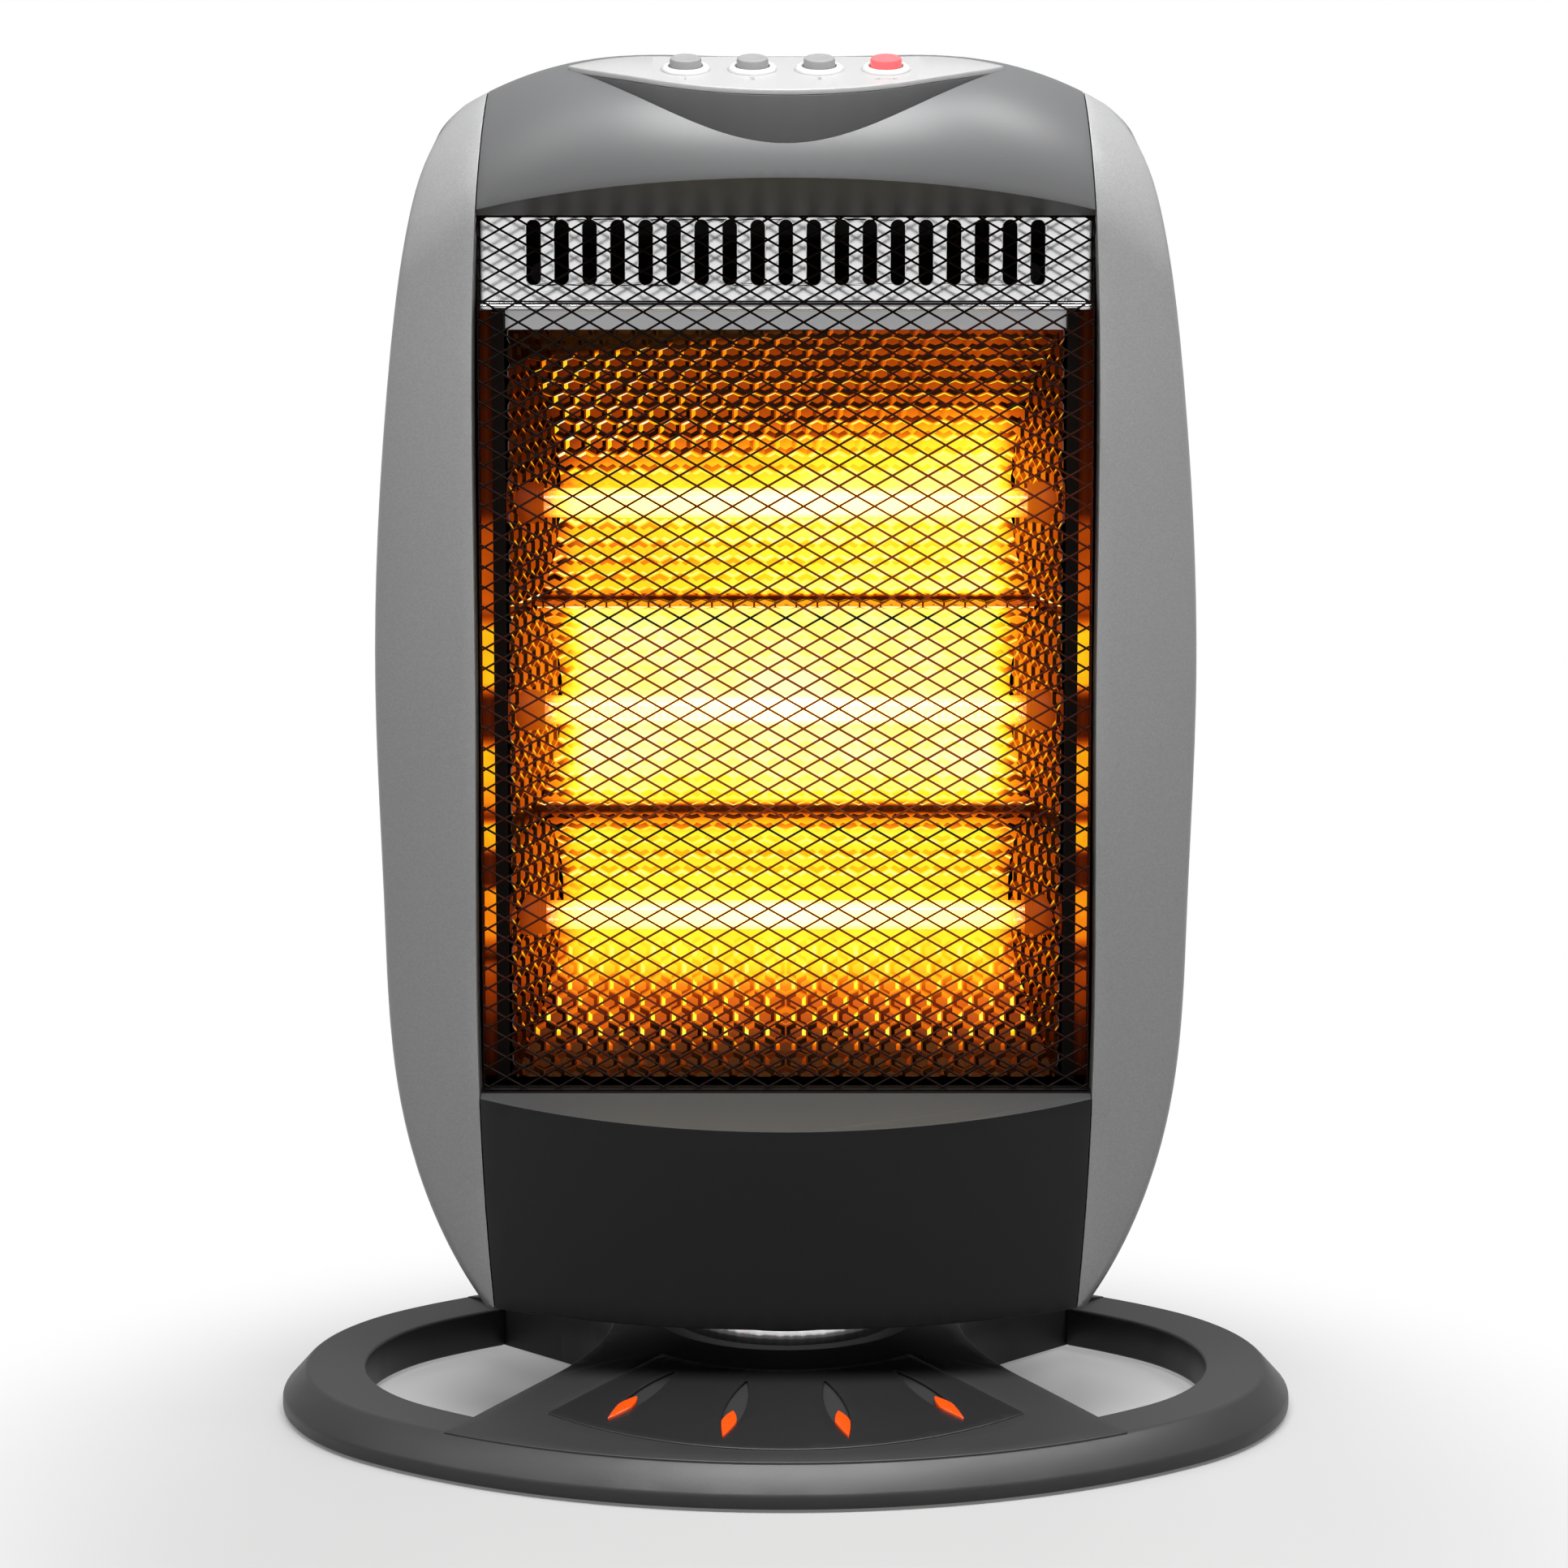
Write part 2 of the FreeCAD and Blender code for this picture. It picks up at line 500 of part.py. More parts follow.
def make_swivel():
    rim = rod("disc_rim", ("0", "0", "crown_height"), "disc_radius", "disc_rim_height")
    slope = primitive("Part::Cone", "disc_slope", ("0", "0", "crown_height + disc_rim_height"), Rotation(),
                      Radius1="disc_radius", Radius2="disc_top_radius",
                      Height="disc_height - disc_rim_height")
    bores = [rod("disc_bore", ("0", "0", "crown_height - overrun"), "spindle_radius",
                 "disc_height + 2 * overrun")]
    bores += swivel_screw_rods("disc_screw_hole", "crown_height - overrun", "swivel_screw_grip + overrun")
    sub_part("swivel_disc", carved("swivel_disc_solid", fused("disc_body", [rim, slope]), bores))

    heads = swivel_screw_rods("swivel_screw_head", "crown_height - base_skin - screw_head_height",
                              "screw_head_height", "screw_head_radius")
    shanks = swivel_screw_rods("swivel_screw_shank", "crown_height - base_skin",
                               "base_skin + swivel_screw_grip")
    screws = [fused("swivel_screw", list(pair)) for pair in zip(heads, shanks)]
    sub_part("swivel_screws", grouped("swivel_screws_group", screws))

    flange_bottom = "crown_height - base_skin - spindle_flange_height"
    flange = rod("spindle_flange", ("0", "0", flange_bottom), "spindle_flange_radius",
                 "spindle_flange_height")
    tube = rod("spindle_tube", ("0", "0", flange_bottom), "spindle_radius",
               f"{SPINDLE_TOP} - ({flange_bottom})")
    bore = rod("spindle_bore", ("0", "0", flange_bottom + " - overrun"), "spindle_bore_radius",
               f"{SPINDLE_TOP} - ({flange_bottom}) + 2 * overrun")
    sub_part("spindle", carved("spindle_solid", fused("spindle_body", [flange, tube]), [bore]))

    outer = rod("slip_outer", ("0", "0", DISC_TOP), "slip_ring_outer_radius",
                "head_bottom - slip_gap - crown_height - disc_height")
    inner = rod("slip_inner", ("0", "0", DISC_TOP + " - overrun"), "slip_ring_inner_radius",
                "head_bottom - crown_height - disc_height + 2 * overrun")
    sub_part("slip_ring", carved("slip_ring_solid", outer, [inner]))

    nut = primitive("Part::Prism", "nut_body", ("0", "0", GEAR_TOP), Rotation(),
                    Circumradius="nut_radius", Height="nut_height")
    nut.Polygon = 6
    thread = rod("nut_thread", ("0", "0", GEAR_TOP + " - overrun"), "spindle_radius",
                 "nut_height + 2 * overrun")
    sub_part("spindle_nut", carved("spindle_nut_solid", nut, [thread]))


def tooth_wheel(teeth, phase):
    """Prism of an involute spur gear about the Z axis; phase turns it, in tooth steps."""
    pitch = s.gear_module * teeth / 2
    press = math.radians(s.pressure_angle)
    base = pitch * math.cos(press)
    tip = pitch + s.gear_module
    root = pitch - ROOT_FACTOR * s.gear_module
    start = max(base, root)
    half_pitch_tooth = math.pi / (2 * teeth)
    involute_at_pitch = math.tan(press) - press
    edges = []
    flank_ends = []
    for number in range(teeth):
        axis = 2 * math.pi * (number + phase) / teeth
        for side in (-1, 1):
            points = []
            for step in range(5):
                radius = start + (tip - start) * step / 4
                roll = math.acos(min(1.0, base / radius))
                half = half_pitch_tooth + involute_at_pitch - (math.tan(roll) - roll)
                points.append(Vector(radius * math.cos(axis + side * half),
                                     radius * math.sin(axis + side * half), 0))
            foot = Vector(points[0].x, points[0].y, 0)
            foot.multiply(root / start)
            flank = Part.BSplineCurve()
            flank.interpolate(points)
            if start > root:
                edges.append(Part.makeLine(foot, points[0]))
            edges.append(flank.toShape())
            flank_ends.append((foot, points[-1], axis))
    for number in range(teeth):
        left, right = flank_ends[2 * number], flank_ends[2 * number + 1]
        crest = Vector(tip * math.cos(left[2]), tip * math.sin(left[2]), 0)
        edges.append(Part.Arc(left[1], crest, right[1]).toShape())
        following = flank_ends[(2 * number + 2) % (2 * teeth)]
        middle_angle = left[2] + math.pi / teeth
        valley = Vector(root * math.cos(middle_angle), root * math.sin(middle_angle), 0)
        edges.append(Part.Arc(right[0], valley, following[0]).toShape())
    wire = Part.Wire(Part.__sortEdges__(edges))
    return prism(wire, s.gear_width)


def make_gears():
    bottom = s.head_bottom + s.shell_wall + s.gear_lift
    centres = s.gear_module * (s.gear_teeth + s.pinion_teeth) / 2 + s.gear_play
    gear = formed("gear_teeth_ring", tooth_wheel(int(s.gear_teeth), s.gear_teeth / 4))
    gear.Placement = Placement(Vector(0, 0, bottom), Rotation())
    bore = rod("gear_bore", ("0", "0", GEAR_BOTTOM + " - overrun"), "spindle_radius",
               "gear_width + 2 * overrun")
    sub_part("spindle_gear", carved("spindle_gear_solid", gear, [bore]))

    teeth = int(s.pinion_teeth)
    wheel = formed("pinion_teeth_ring", tooth_wheel(teeth, -teeth / 4 + 0.5))
    wheel.Placement = Placement(Vector(0, centres, bottom), Rotation())
    hole = rod("pinion_bore", ("0", GEAR_CENTRES, GEAR_BOTTOM + " - overrun"),
               "pinion_shaft_radius", "gear_width + 2 * overrun")
    wheel_body = carved("pinion_wheel", wheel, [hole])
    shaft = rod("pinion_shaft", ("0", GEAR_CENTRES, GEAR_BOTTOM), "pinion_shaft_radius",
                "gear_width + motor_bracket_clearance + bracket_sheet + pinion_shaft_grip")
    sub_part("drive_pinion", fused("drive_pinion_solid", [wheel_body, shaft]))


# Floor plate and drive

BRACKET_TOP = f"({GEAR_TOP} + motor_bracket_clearance + bracket_sheet)"
COLLAR_BOTTOM = f"({SPINDLE_TOP} + plunger_travel + rest_gap)"
PLUNGER_TOP = f"({COLLAR_BOTTOM} + plunger_collar_height)"
SWITCH_BOTTOM = f"({PLUNGER_TOP} + rest_gap)"
TIP_BRACKET_BOTTOM = f"({SWITCH_BOTTOM} + tip_switch_height)"


def make_floor_plate():
    inset = s.shell_wall + s.rest_gap
    slab = Part.makeBox(4 * s.head_half_width, 4 * s.head_half_width, s.shell_wall,
                        Vector(-2 * s.head_half_width, -2 * s.head_half_width, s.head_bottom))
    plate = formed("floor_plate_blank", head_solid(inset).common(slab))
    hole = rod("floor_spindle_hole", ("0", "0", "head_bottom - overrun"), "spindle_radius + running",
               "shell_wall + 2 * overrun")
    sub_part("floor_plate", carved("floor_plate_solid", plate, [hole]))


def make_motor():
    front = f"{GEAR_CENTRES} - motor_bracket_depth / 2"
    deck = block("motor_deck", ("-motor_bracket_half_span", front, BRACKET_TOP + " - bracket_sheet"),
                 ("2 * motor_bracket_half_span", "motor_bracket_depth", "bracket_sheet"))
    legs = []
    for side in ("-motor_bracket_half_span", "motor_bracket_half_span - bracket_sheet"):
        legs.append(block("motor_leg", (side, front, PLATE_TOP),
                          ("bracket_sheet", "motor_bracket_depth", f"{BRACKET_TOP} - {PLATE_TOP}")))
    holes = [rod("motor_boss_hole", ("0", GEAR_CENTRES, BRACKET_TOP + " - bracket_sheet - overrun"),
                 "motor_boss_radius", "bracket_sheet + 2 * overrun")]
    for side in ("-", ""):
        holes.append(rod("motor_screw_hole", (side + "motor_screw_half_span", GEAR_CENTRES,
                                              BRACKET_TOP + " - bracket_sheet - overrun"),
                         "motor_screw_radius", "bracket_sheet + 2 * overrun"))
    sub_part("motor_bracket",
             carved("motor_bracket_solid", fused("motor_bracket_body", [deck] + legs), holes))

    can = rod("motor_can", ("0", GEAR_CENTRES, BRACKET_TOP), "motor_radius", "motor_height")
    ears = block("motor_ears",
                 ("-motor_screw_half_span - motor_ear_width / 2", f"{GEAR_CENTRES} - motor_ear_width / 2",
                                BRACKET_TOP),
                 ("2 * motor_screw_half_span + motor_ear_width", "motor_ear_width", "motor_ear_height"))
    ear_holes = []
    for side in ("-", ""):
        ear_holes.append(rod("motor_ear_hole",
                             (side + "motor_screw_half_span", GEAR_CENTRES, BRACKET_TOP + " - overrun"),
                             "motor_screw_radius", "motor_ear_height + 2 * overrun"))
    ear_holes.append(rod("motor_bearing", ("0", GEAR_CENTRES, BRACKET_TOP + " - overrun"),
                         "pinion_shaft_radius + running", "pinion_shaft_grip + rest_gap + overrun"))
    sub_part("swing_motor", carved("swing_motor_solid", fused("swing_motor_body", [can, ears]), ear_holes))

    screws = []
    for side in ("-", ""):
        place = (side + "motor_screw_half_span", GEAR_CENTRES)
        shank = rod("motor_screw_shank", place + (BRACKET_TOP + " - bracket_sheet",),
                    "motor_screw_radius", "bracket_sheet + motor_ear_height")
        head = rod("motor_screw_head", place + (BRACKET_TOP + " + motor_ear_height",),
                   "motor_screw_head_radius", "screw_head_height")
        screws.append(fused("motor_screw", [shank, head]))
    sub_part("motor_screws", grouped("motor_screws_group", screws))


def make_tip_switch():
    foot = rod("plunger_foot", ("0", "0", "0"), "plunger_foot_radius", "plunger_foot_height")
    stem = rod("plunger_stem", ("0", "0", "0"), "spindle_bore_radius - running", PLUNGER_TOP)
    collar = rod("plunger_collar", ("0", "0", COLLAR_BOTTOM), "plunger_collar_radius",
                 "plunger_collar_height")
    sub_part("tip_plunger", fused("tip_plunger_solid", [foot, stem, collar]))

    body = block("tip_switch_body", ("-tip_switch_length / 2", "-tip_switch_width / 2", SWITCH_BOTTOM),
                 ("tip_switch_length", "tip_switch_width", "tip_switch_height"))
    sub_part("tip_switch", body)

    deck = block("tip_deck", ("-tip_bracket_half_span", "-tip_bracket_width / 2", TIP_BRACKET_BOTTOM),
                 ("2 * tip_bracket_half_span", "tip_bracket_width", "bracket_sheet"))
    legs = []
    for side in ("-tip_bracket_half_span", "tip_bracket_half_span - bracket_sheet"):
        legs.append(block("tip_leg", (side, "-tip_bracket_width / 2", PLATE_TOP),
                          ("bracket_sheet", "tip_bracket_width", f"{TIP_BRACKET_BOTTOM} - {PLATE_TOP}")))
    sub_part("tip_switch_bracket", fused("tip_switch_bracket_solid", [deck] + legs))


# Head shells

HEAD_HEIGHT = s.head_top - s.head_bottom
FAR = 6 * s.head_half_width


def side_section(across, inset):
    """Upright section of the head at one place across: front, shoulder and top, open far back and below."""
    bow = s.front_bow_radius - math.sqrt(s.front_bow_radius ** 2 - across ** 2)
    beyond = max(0.0, abs(across) - s.top_flat_half_width)
    drop = s.top_end_radius - math.sqrt(s.top_end_radius ** 2 - beyond ** 2)
    front = -s.head_front + inset + bow
    top = s.head_top - inset - drop
    radius = s.shoulder_radius - inset
    fall = math.radians(s.top_fall)
    centre = Vector(across, front + radius, top - radius)
    low = s.head_bottom - s.head_half_width
    far = s.head_back + s.head_half_width
    start = Vector(across, front, low)
    spring = Vector(across, front, centre.z)
    ridge = Vector(across, centre.y, top)
    crest = centre + Vector(0, math.sin(fall), math.cos(fall)) * radius
    shoulder = Part.Arc(spring, ridge, crest).toShape()
    outline = Part.makePolygon([crest, Vector(across, far, crest.z - (far - crest.y) * math.tan(fall)),
                                Vector(across, far, low), start])
    return Part.Wire([Part.makeLine(start, spring), shoulder] + outline.Edges)


def front_outline(shares, half_width, inset):
    """Closed outline seen from the front, on a plane far ahead of the head."""
    sides = []
    for sign in (1, -1):
        curve = Part.BSplineCurve()
        curve.interpolate([Vector(sign * (half_width * width - inset), -FAR,
                                  s.head_bottom + HEAD_HEIGHT * height)
                           for height, width in shares])
        sides.append(curve.toShape())
    right, left = sides
    low = Part.makeLine(left.Vertexes[0].Point, right.Vertexes[0].Point)
    high = Part.makeLine(right.Vertexes[-1].Point, left.Vertexes[-1].Point)
    return Part.Wire(Part.__sortEdges__([right, high, left, low]))


def front_prism(shares, half_width, inset, back):
    return Part.Face(front_outline(shares, half_width, inset)).extrude(Vector(0, FAR + back, 0))


def head_solid(inset):
    """The head's whole form, moved inwards by an inset."""
    reach = s.head_half_width + s.shell_wall
    sections = []
    for number in range(HEAD_STATIONS + 1):
        sections.append(side_section(reach * (2 * number / HEAD_STATIONS - 1), inset))
    bowed = Part.makeLoft(sections, True, False)
    return bowed.common(front_prism(SIDE_SHARES, s.head_half_width, inset, s.head_back - inset))


def rounded_head():
    """The head's outer form with its side and rear edges rounded."""
    head = head_solid(0)
    edge_zone = s.centre_half_width * CENTRE_SHARES[0][1]
    side_edges = [edge for edge in head.Edges if abs(edge.BoundBox.Center.x) > edge_zone / 2
                  and edge.BoundBox.YMin < s.head_back - s.overrun
                  and edge.BoundBox.ZLength > s.shoulder_radius / 2]
    head = head.makeFillet(s.side_edge_round, side_edges)
    rear_edges = [edge for edge in head.Edges if edge.BoundBox.YMin > s.head_back - s.seam
                  and edge.BoundBox.ZMax > s.head_bottom + s.overrun]
    return head.makeFillet(s.rear_edge_round, rear_edges)


def hollow_form():
    """The space inside the head's walls, open below."""
    inside = head_solid(s.shell_wall)
    foot = inside.common(Part.makeBox(FAR, FAR, s.overrun, Vector(-FAR / 2, -FAR / 2, s.head_bottom)))
    foot.translate(Vector(0, 0, -s.overrun))
    return inside.fuse(foot)


def depth_slab(front, back):
    """Everything between two planes across the head, front to back."""
    return Part.makeBox(FAR, back - front, FAR, Vector(-FAR / 2, front, -FAR / 4))


def cover_zone(edge, rise, upwards, wall):
    """Space that a cover takes above or below the opening: sloped facet, then a level lip going back."""
    sign = 1 if upwards else -1
    run = s.head_front - s.opening_plane
    slope = rise / run
    shift = sign * wall * math.sqrt(1 + slope ** 2)
    far_front = -s.head_front - s.head_half_width
    lip = Vector(0, -s.opening_plane, edge + shift)
    nose = Vector(0, far_front, edge + shift + sign * slope * (-far_front - s.opening_plane))
    back = Vector(0, s.head_back + s.head_half_width, edge + sign * wall)
    far = edge + sign * FAR
    points = [nose, lip, back, Vector(0, back.y, far), Vector(0, far_front, far), nose]
    face = Part.Face(Part.makePolygon(points))
    face.translate(Vector(-FAR / 2, 0, 0))
    return face.extrude(Vector(FAR, 0, 0))


def make_cover(outer, inner, edge, rise, upwards):
    """One front cover: outer form within its zone, less the inside of that zone."""
    zone = front_prism(CENTRE_SHARES, s.centre_half_width, 0, s.head_split)
    solid = outer.common(zone).common(cover_zone(edge, rise, upwards, 0))
    space = inner.common(cover_zone(edge, rise, upwards, s.shell_wall))
    lip_end = depth_slab(-s.opening_plane + s.lip_depth, FAR)
    low = edge - s.overrun
    band = Part.makeBox(FAR, FAR, s.shell_wall + 2 * s.overrun, Vector(-FAR / 2, -FAR / 2, low if upwards
                                                                       else edge - s.shell_wall - s.overrun))
    return solid.cut(space).cut(lip_end.common(band).common(inner))


def make_side_panel(outer, inner, side):
    centre = front_prism(CENTRE_SHARES, s.centre_half_width, -s.seam, s.head_back)
    deep = front_prism(CENTRE_SHARES, s.centre_half_width, -s.seam - s.return_wall, s.head_back)
    half = Part.makeBox(FAR, FAR, FAR, Vector(0 if side > 0 else -FAR, -FAR / 2, -FAR / 4))
    front = outer.common(depth_slab(-FAR / 2, s.head_split)).common(half).cut(centre)
    wall = front.cut(inner)
    above_floor = Part.makeBox(FAR, FAR, FAR,
                               Vector(-FAR / 2, -FAR / 2, s.head_bottom + s.shell_wall + s.rest_gap))
    fold = front.common(deep).common(depth_slab(-FAR / 2, -s.return_back)).common(inner).common(above_floor)
    lugs = []
    for height in (s.rear_screw_low, s.rear_screw_high):
        start = s.rear_screw_half_span - s.rear_boss_radius
        box = Part.makeBox(s.head_half_width, s.rear_lug_depth, 2 * s.rear_boss_radius,
                           Vector(start, s.head_split - s.rear_lug_depth, height - s.rear_boss_radius))
        if side < 0:
            box = box.mirror(Vector(), Vector(1, 0, 0))
        hole = Part.makeCylinder(s.shield_screw_radius, s.rear_lug_depth + 2 * s.overrun,
                                 Vector(side * s.rear_screw_half_span,
                                        s.head_split - s.rear_lug_depth - s.overrun, height),
                                 Vector(0, 1, 0))
        lugs.append(box.common(inner).cut(hole))
    return wall.fuse([fold] + lugs).removeSplitter()


def make_rear_cover(outer, inner):
    back = depth_slab(s.head_split + s.seam, FAR / 2)
    tray = outer.common(back).cut(inner)
    inside = s.head_back - s.shell_wall
    posts = []
    for side in (-1, 1):
        for height in (s.rear_screw_low, s.rear_screw_high):
            posts.append(Part.makeCylinder(s.rear_boss_radius, inside - s.head_split - s.seam,
                                           Vector(side * s.rear_screw_half_span, s.head_split + s.seam,
                                                  height),
                                           Vector(0, 1, 0)))
            at = Vector(side * s.shield_screw_half_span, s.shield_back + s.shield_sheet, height)
            posts.append(Part.makeCylinder(s.shield_boss_radius, inside - s.shield_back - s.shield_sheet, at,
                                           Vector(0, 1, 0)))
    tray = tray.fuse(posts)
    cuts = []
    for side in (-1, 1):
        for height in (s.rear_screw_low, s.rear_screw_high):
            cuts.append(Part.makeCylinder(s.shield_screw_radius, FAR,
                                          Vector(side * s.rear_screw_half_span, 0, height), Vector(0, 1, 0)))
            cuts.append(Part.makeCylinder(s.screw_head_radius, s.screw_head_height + s.overrun,
                                          Vector(side * s.rear_screw_half_span,
                                                 s.head_back - s.screw_head_height, height),
                                          Vector(0, 1, 0)))
            cuts.append(Part.makeCylinder(s.shield_screw_radius, s.head_back - s.shell_wall - s.shield_back,
                                          Vector(side * s.shield_screw_half_span, s.shield_back, height),
                                          Vector(0, 1, 0)))
        for number in range(int(s.rear_vent_count)):
            height = s.rear_vent_bottom + number * s.rear_vent_pitch
            cuts.append(Part.makeBox(s.rear_vent_length, 2 * s.shell_wall + s.overrun, s.rear_vent_height,
                                     Vector(side * s.rear_vent_spread - s.rear_vent_length / 2,
                                            s.head_back - 2 * s.shell_wall, height)))
    cuts.append(Part.makeBox(s.grip_width, 2 * s.shell_wall + s.overrun, s.grip_height,
                             Vector(-s.grip_width / 2, s.head_back - 2 * s.shell_wall,
                                    s.grip_middle - s.grip_height / 2)))
    cuts.append(Part.makeCylinder(s.gland_radius, 2 * s.shell_wall + s.overrun,
                                  Vector(s.gland_place, s.head_back - 2 * s.shell_wall, s.gland_height),
                                  Vector(0, 1, 0)))
    return tray.cut(Part.makeCompound(cuts))


# Control pod on the shoulder

TILT = math.radians(s.panel_tilt)
PANEL_TURN = Rotation(Vector(1, 0, 0), s.panel_tilt)
PANEL_NORMAL = Vector(0, -math.sin(TILT), math.cos(TILT))
PANEL_ORIGIN = Vector(0, -s.pod_front, s.pod_front_height)
BUTTON_ROW = PANEL_ORIGIN + Vector(0, math.cos(TILT), math.sin(TILT)) * s.button_setback


def pod_prism(grow):
    """Upright prism of the lens-shaped pod, seen from above."""
    left = Vector(-s.pod_half_width - grow, -s.pod_tip_plane, s.head_bottom)
    right = Vector(s.pod_half_width + grow, -s.pod_tip_plane, s.head_bottom)
    front = Part.Arc(left, Vector(0, -s.pod_front - grow, s.head_bottom), right).toShape()
    back = Part.Arc(right, Vector(0, -s.pod_back + grow, s.head_bottom), left).toShape()
    return prism(Part.Wire([front, back]), s.head_top)


def below_panel(depth):
    """Everything below the panel's face, which is rounded at its ends as the head's top is, less a depth."""
    flat = s.top_flat_half_width
    end = flat + s.top_end_radius
    turn = s.top_end_radius * math.sqrt(0.5)
    corners = [Vector(-end, 0, -s.top_end_radius), Vector(-flat - turn, 0, turn - s.top_end_radius),
               Vector(-flat, 0, 0), Vector(flat, 0, 0), Vector(flat + turn, 0, turn - s.top_end_radius),
               Vector(end, 0, -s.top_end_radius)]
    edges = [Part.Arc(*corners[:3]).toShape(), Part.makeLine(corners[2], corners[3]),
             Part.Arc(*corners[3:]).toShape()]
    edges += Part.makePolygon([corners[5], Vector(end, 0, -FAR), Vector(-end, 0, -FAR), corners[0]]).Edges
    section = Part.Face(Part.Wire(edges))
    section.translate(Vector(0, -FAR / 2, -depth))
    solid = section.extrude(Vector(0, FAR, 0))
    solid.Placement = Placement(PANEL_ORIGIN, PANEL_TURN)
    return solid


def panel_rod(radius, low, high, across=0.0):
    """Cylinder square to the panel, between two levels from the panel's face."""
    return Part.makeCylinder(radius, high - low, BUTTON_ROW + Vector(across, 0, 0) + PANEL_NORMAL * low,
                             PANEL_NORMAL)


def button_across(name):
    return BUTTON_PLACES[name] * s.button_pitch


# Posts stand clear of the end buttons' caps, and the bank reaches past its posts.
BUTTON_REACH = max(BUTTON_PLACES.values()) * s.button_pitch + s.button_radius
SWITCH_POST_PLACE = BUTTON_REACH + s.seam + s.switch_post_radius
SWITCH_LENGTH = 2 * (SWITCH_POST_PLACE + s.switch_post_radius)


def switch_space(grow):
    """Box of the switch bank below the panel, in the panel's frame, grown by a clearance."""
    box = Part.makeBox(SWITCH_LENGTH + 2 * grow, s.switch_width + 2 * grow, s.switch_height + s.switch_depth,
                       Vector(-SWITCH_LENGTH / 2 - grow, -s.switch_width / 2 - grow,
                              -s.switch_depth - s.switch_height - grow))
    box.Placement = Placement(BUTTON_ROW, PANEL_TURN)
    return box


def make_controls(outer, top_cover):
    lens = pod_prism(0)
    room = switch_space(s.seam)
    seat = lens.cut(below_panel(s.panel_sheet))
    top_cover = top_cover.cut(seat).cut(room)
    pod = lens.common(below_panel(s.panel_sheet)).cut(outer).cut(room)
    pod = max(pod.Solids, key=lambda solid: solid.Volume)
    sub_part("top_cover", formed("top_cover_solid", max(top_cover.Solids, key=lambda solid: solid.Volume)))
    sub_part("control_pod", formed("control_pod_solid", pod))

    panel = lens.common(below_panel(0)).cut(below_panel(s.panel_sheet))
    collars = []
    for name in BUTTON_PLACES:
        across = button_across(name)
        panel = panel.cut(panel_rod(s.button_radius + s.seam, -s.panel_sheet - s.overrun, s.overrun, across))
        ring = panel_rod(s.collar_radius, 0, s.collar_height, across)
        collars.append(ring.cut(panel_rod(s.button_radius + s.seam, -s.overrun, s.collar_height + s.overrun,
                                          across)))
    sub_part("control_panel", formed("control_panel_solid", panel))
    sub_part("button_collars", formed("button_collars_solids", Part.makeCompound(collars)))

    for name in BUTTON_PLACES:
        across = button_across(name)
        cap = panel_rod(s.button_radius, -s.button_skirt, s.button_height, across)
        stem = panel_rod(s.button_stem_radius, -s.button_skirt - s.button_stem_length, -s.button_skirt,
                         across)
        sub_part(name, formed(name + "_solid", cap.fuse(stem).removeSplitter()))

    bank = switch_space(0).cut(switch_space(0).common(above_switch()))
    for name in BUTTON_PLACES:
        low = -s.button_skirt - s.button_stem_length - s.button_travel - s.rest_gap
        bank = bank.cut(panel_rod(s.button_stem_radius + s.running, low, 0, button_across(name)))
    posts = []
    for side in (-1, 1):
        posts.append(panel_rod(s.switch_post_radius, -s.switch_depth, -s.panel_sheet,
                               side * SWITCH_POST_PLACE))
    sub_part("switch_bank", formed("switch_bank_solid", bank.fuse(posts).removeSplitter()))


def above_switch():
    """Space between the panel's face and the top of the switch bank."""
    box = Part.makeBox(FAR, FAR, FAR, Vector(-FAR / 2, -FAR / 2, -s.switch_depth))
    box.Placement = Placement(BUTTON_ROW, PANEL_TURN)
    return box


# Guard, vent plate and heating parts

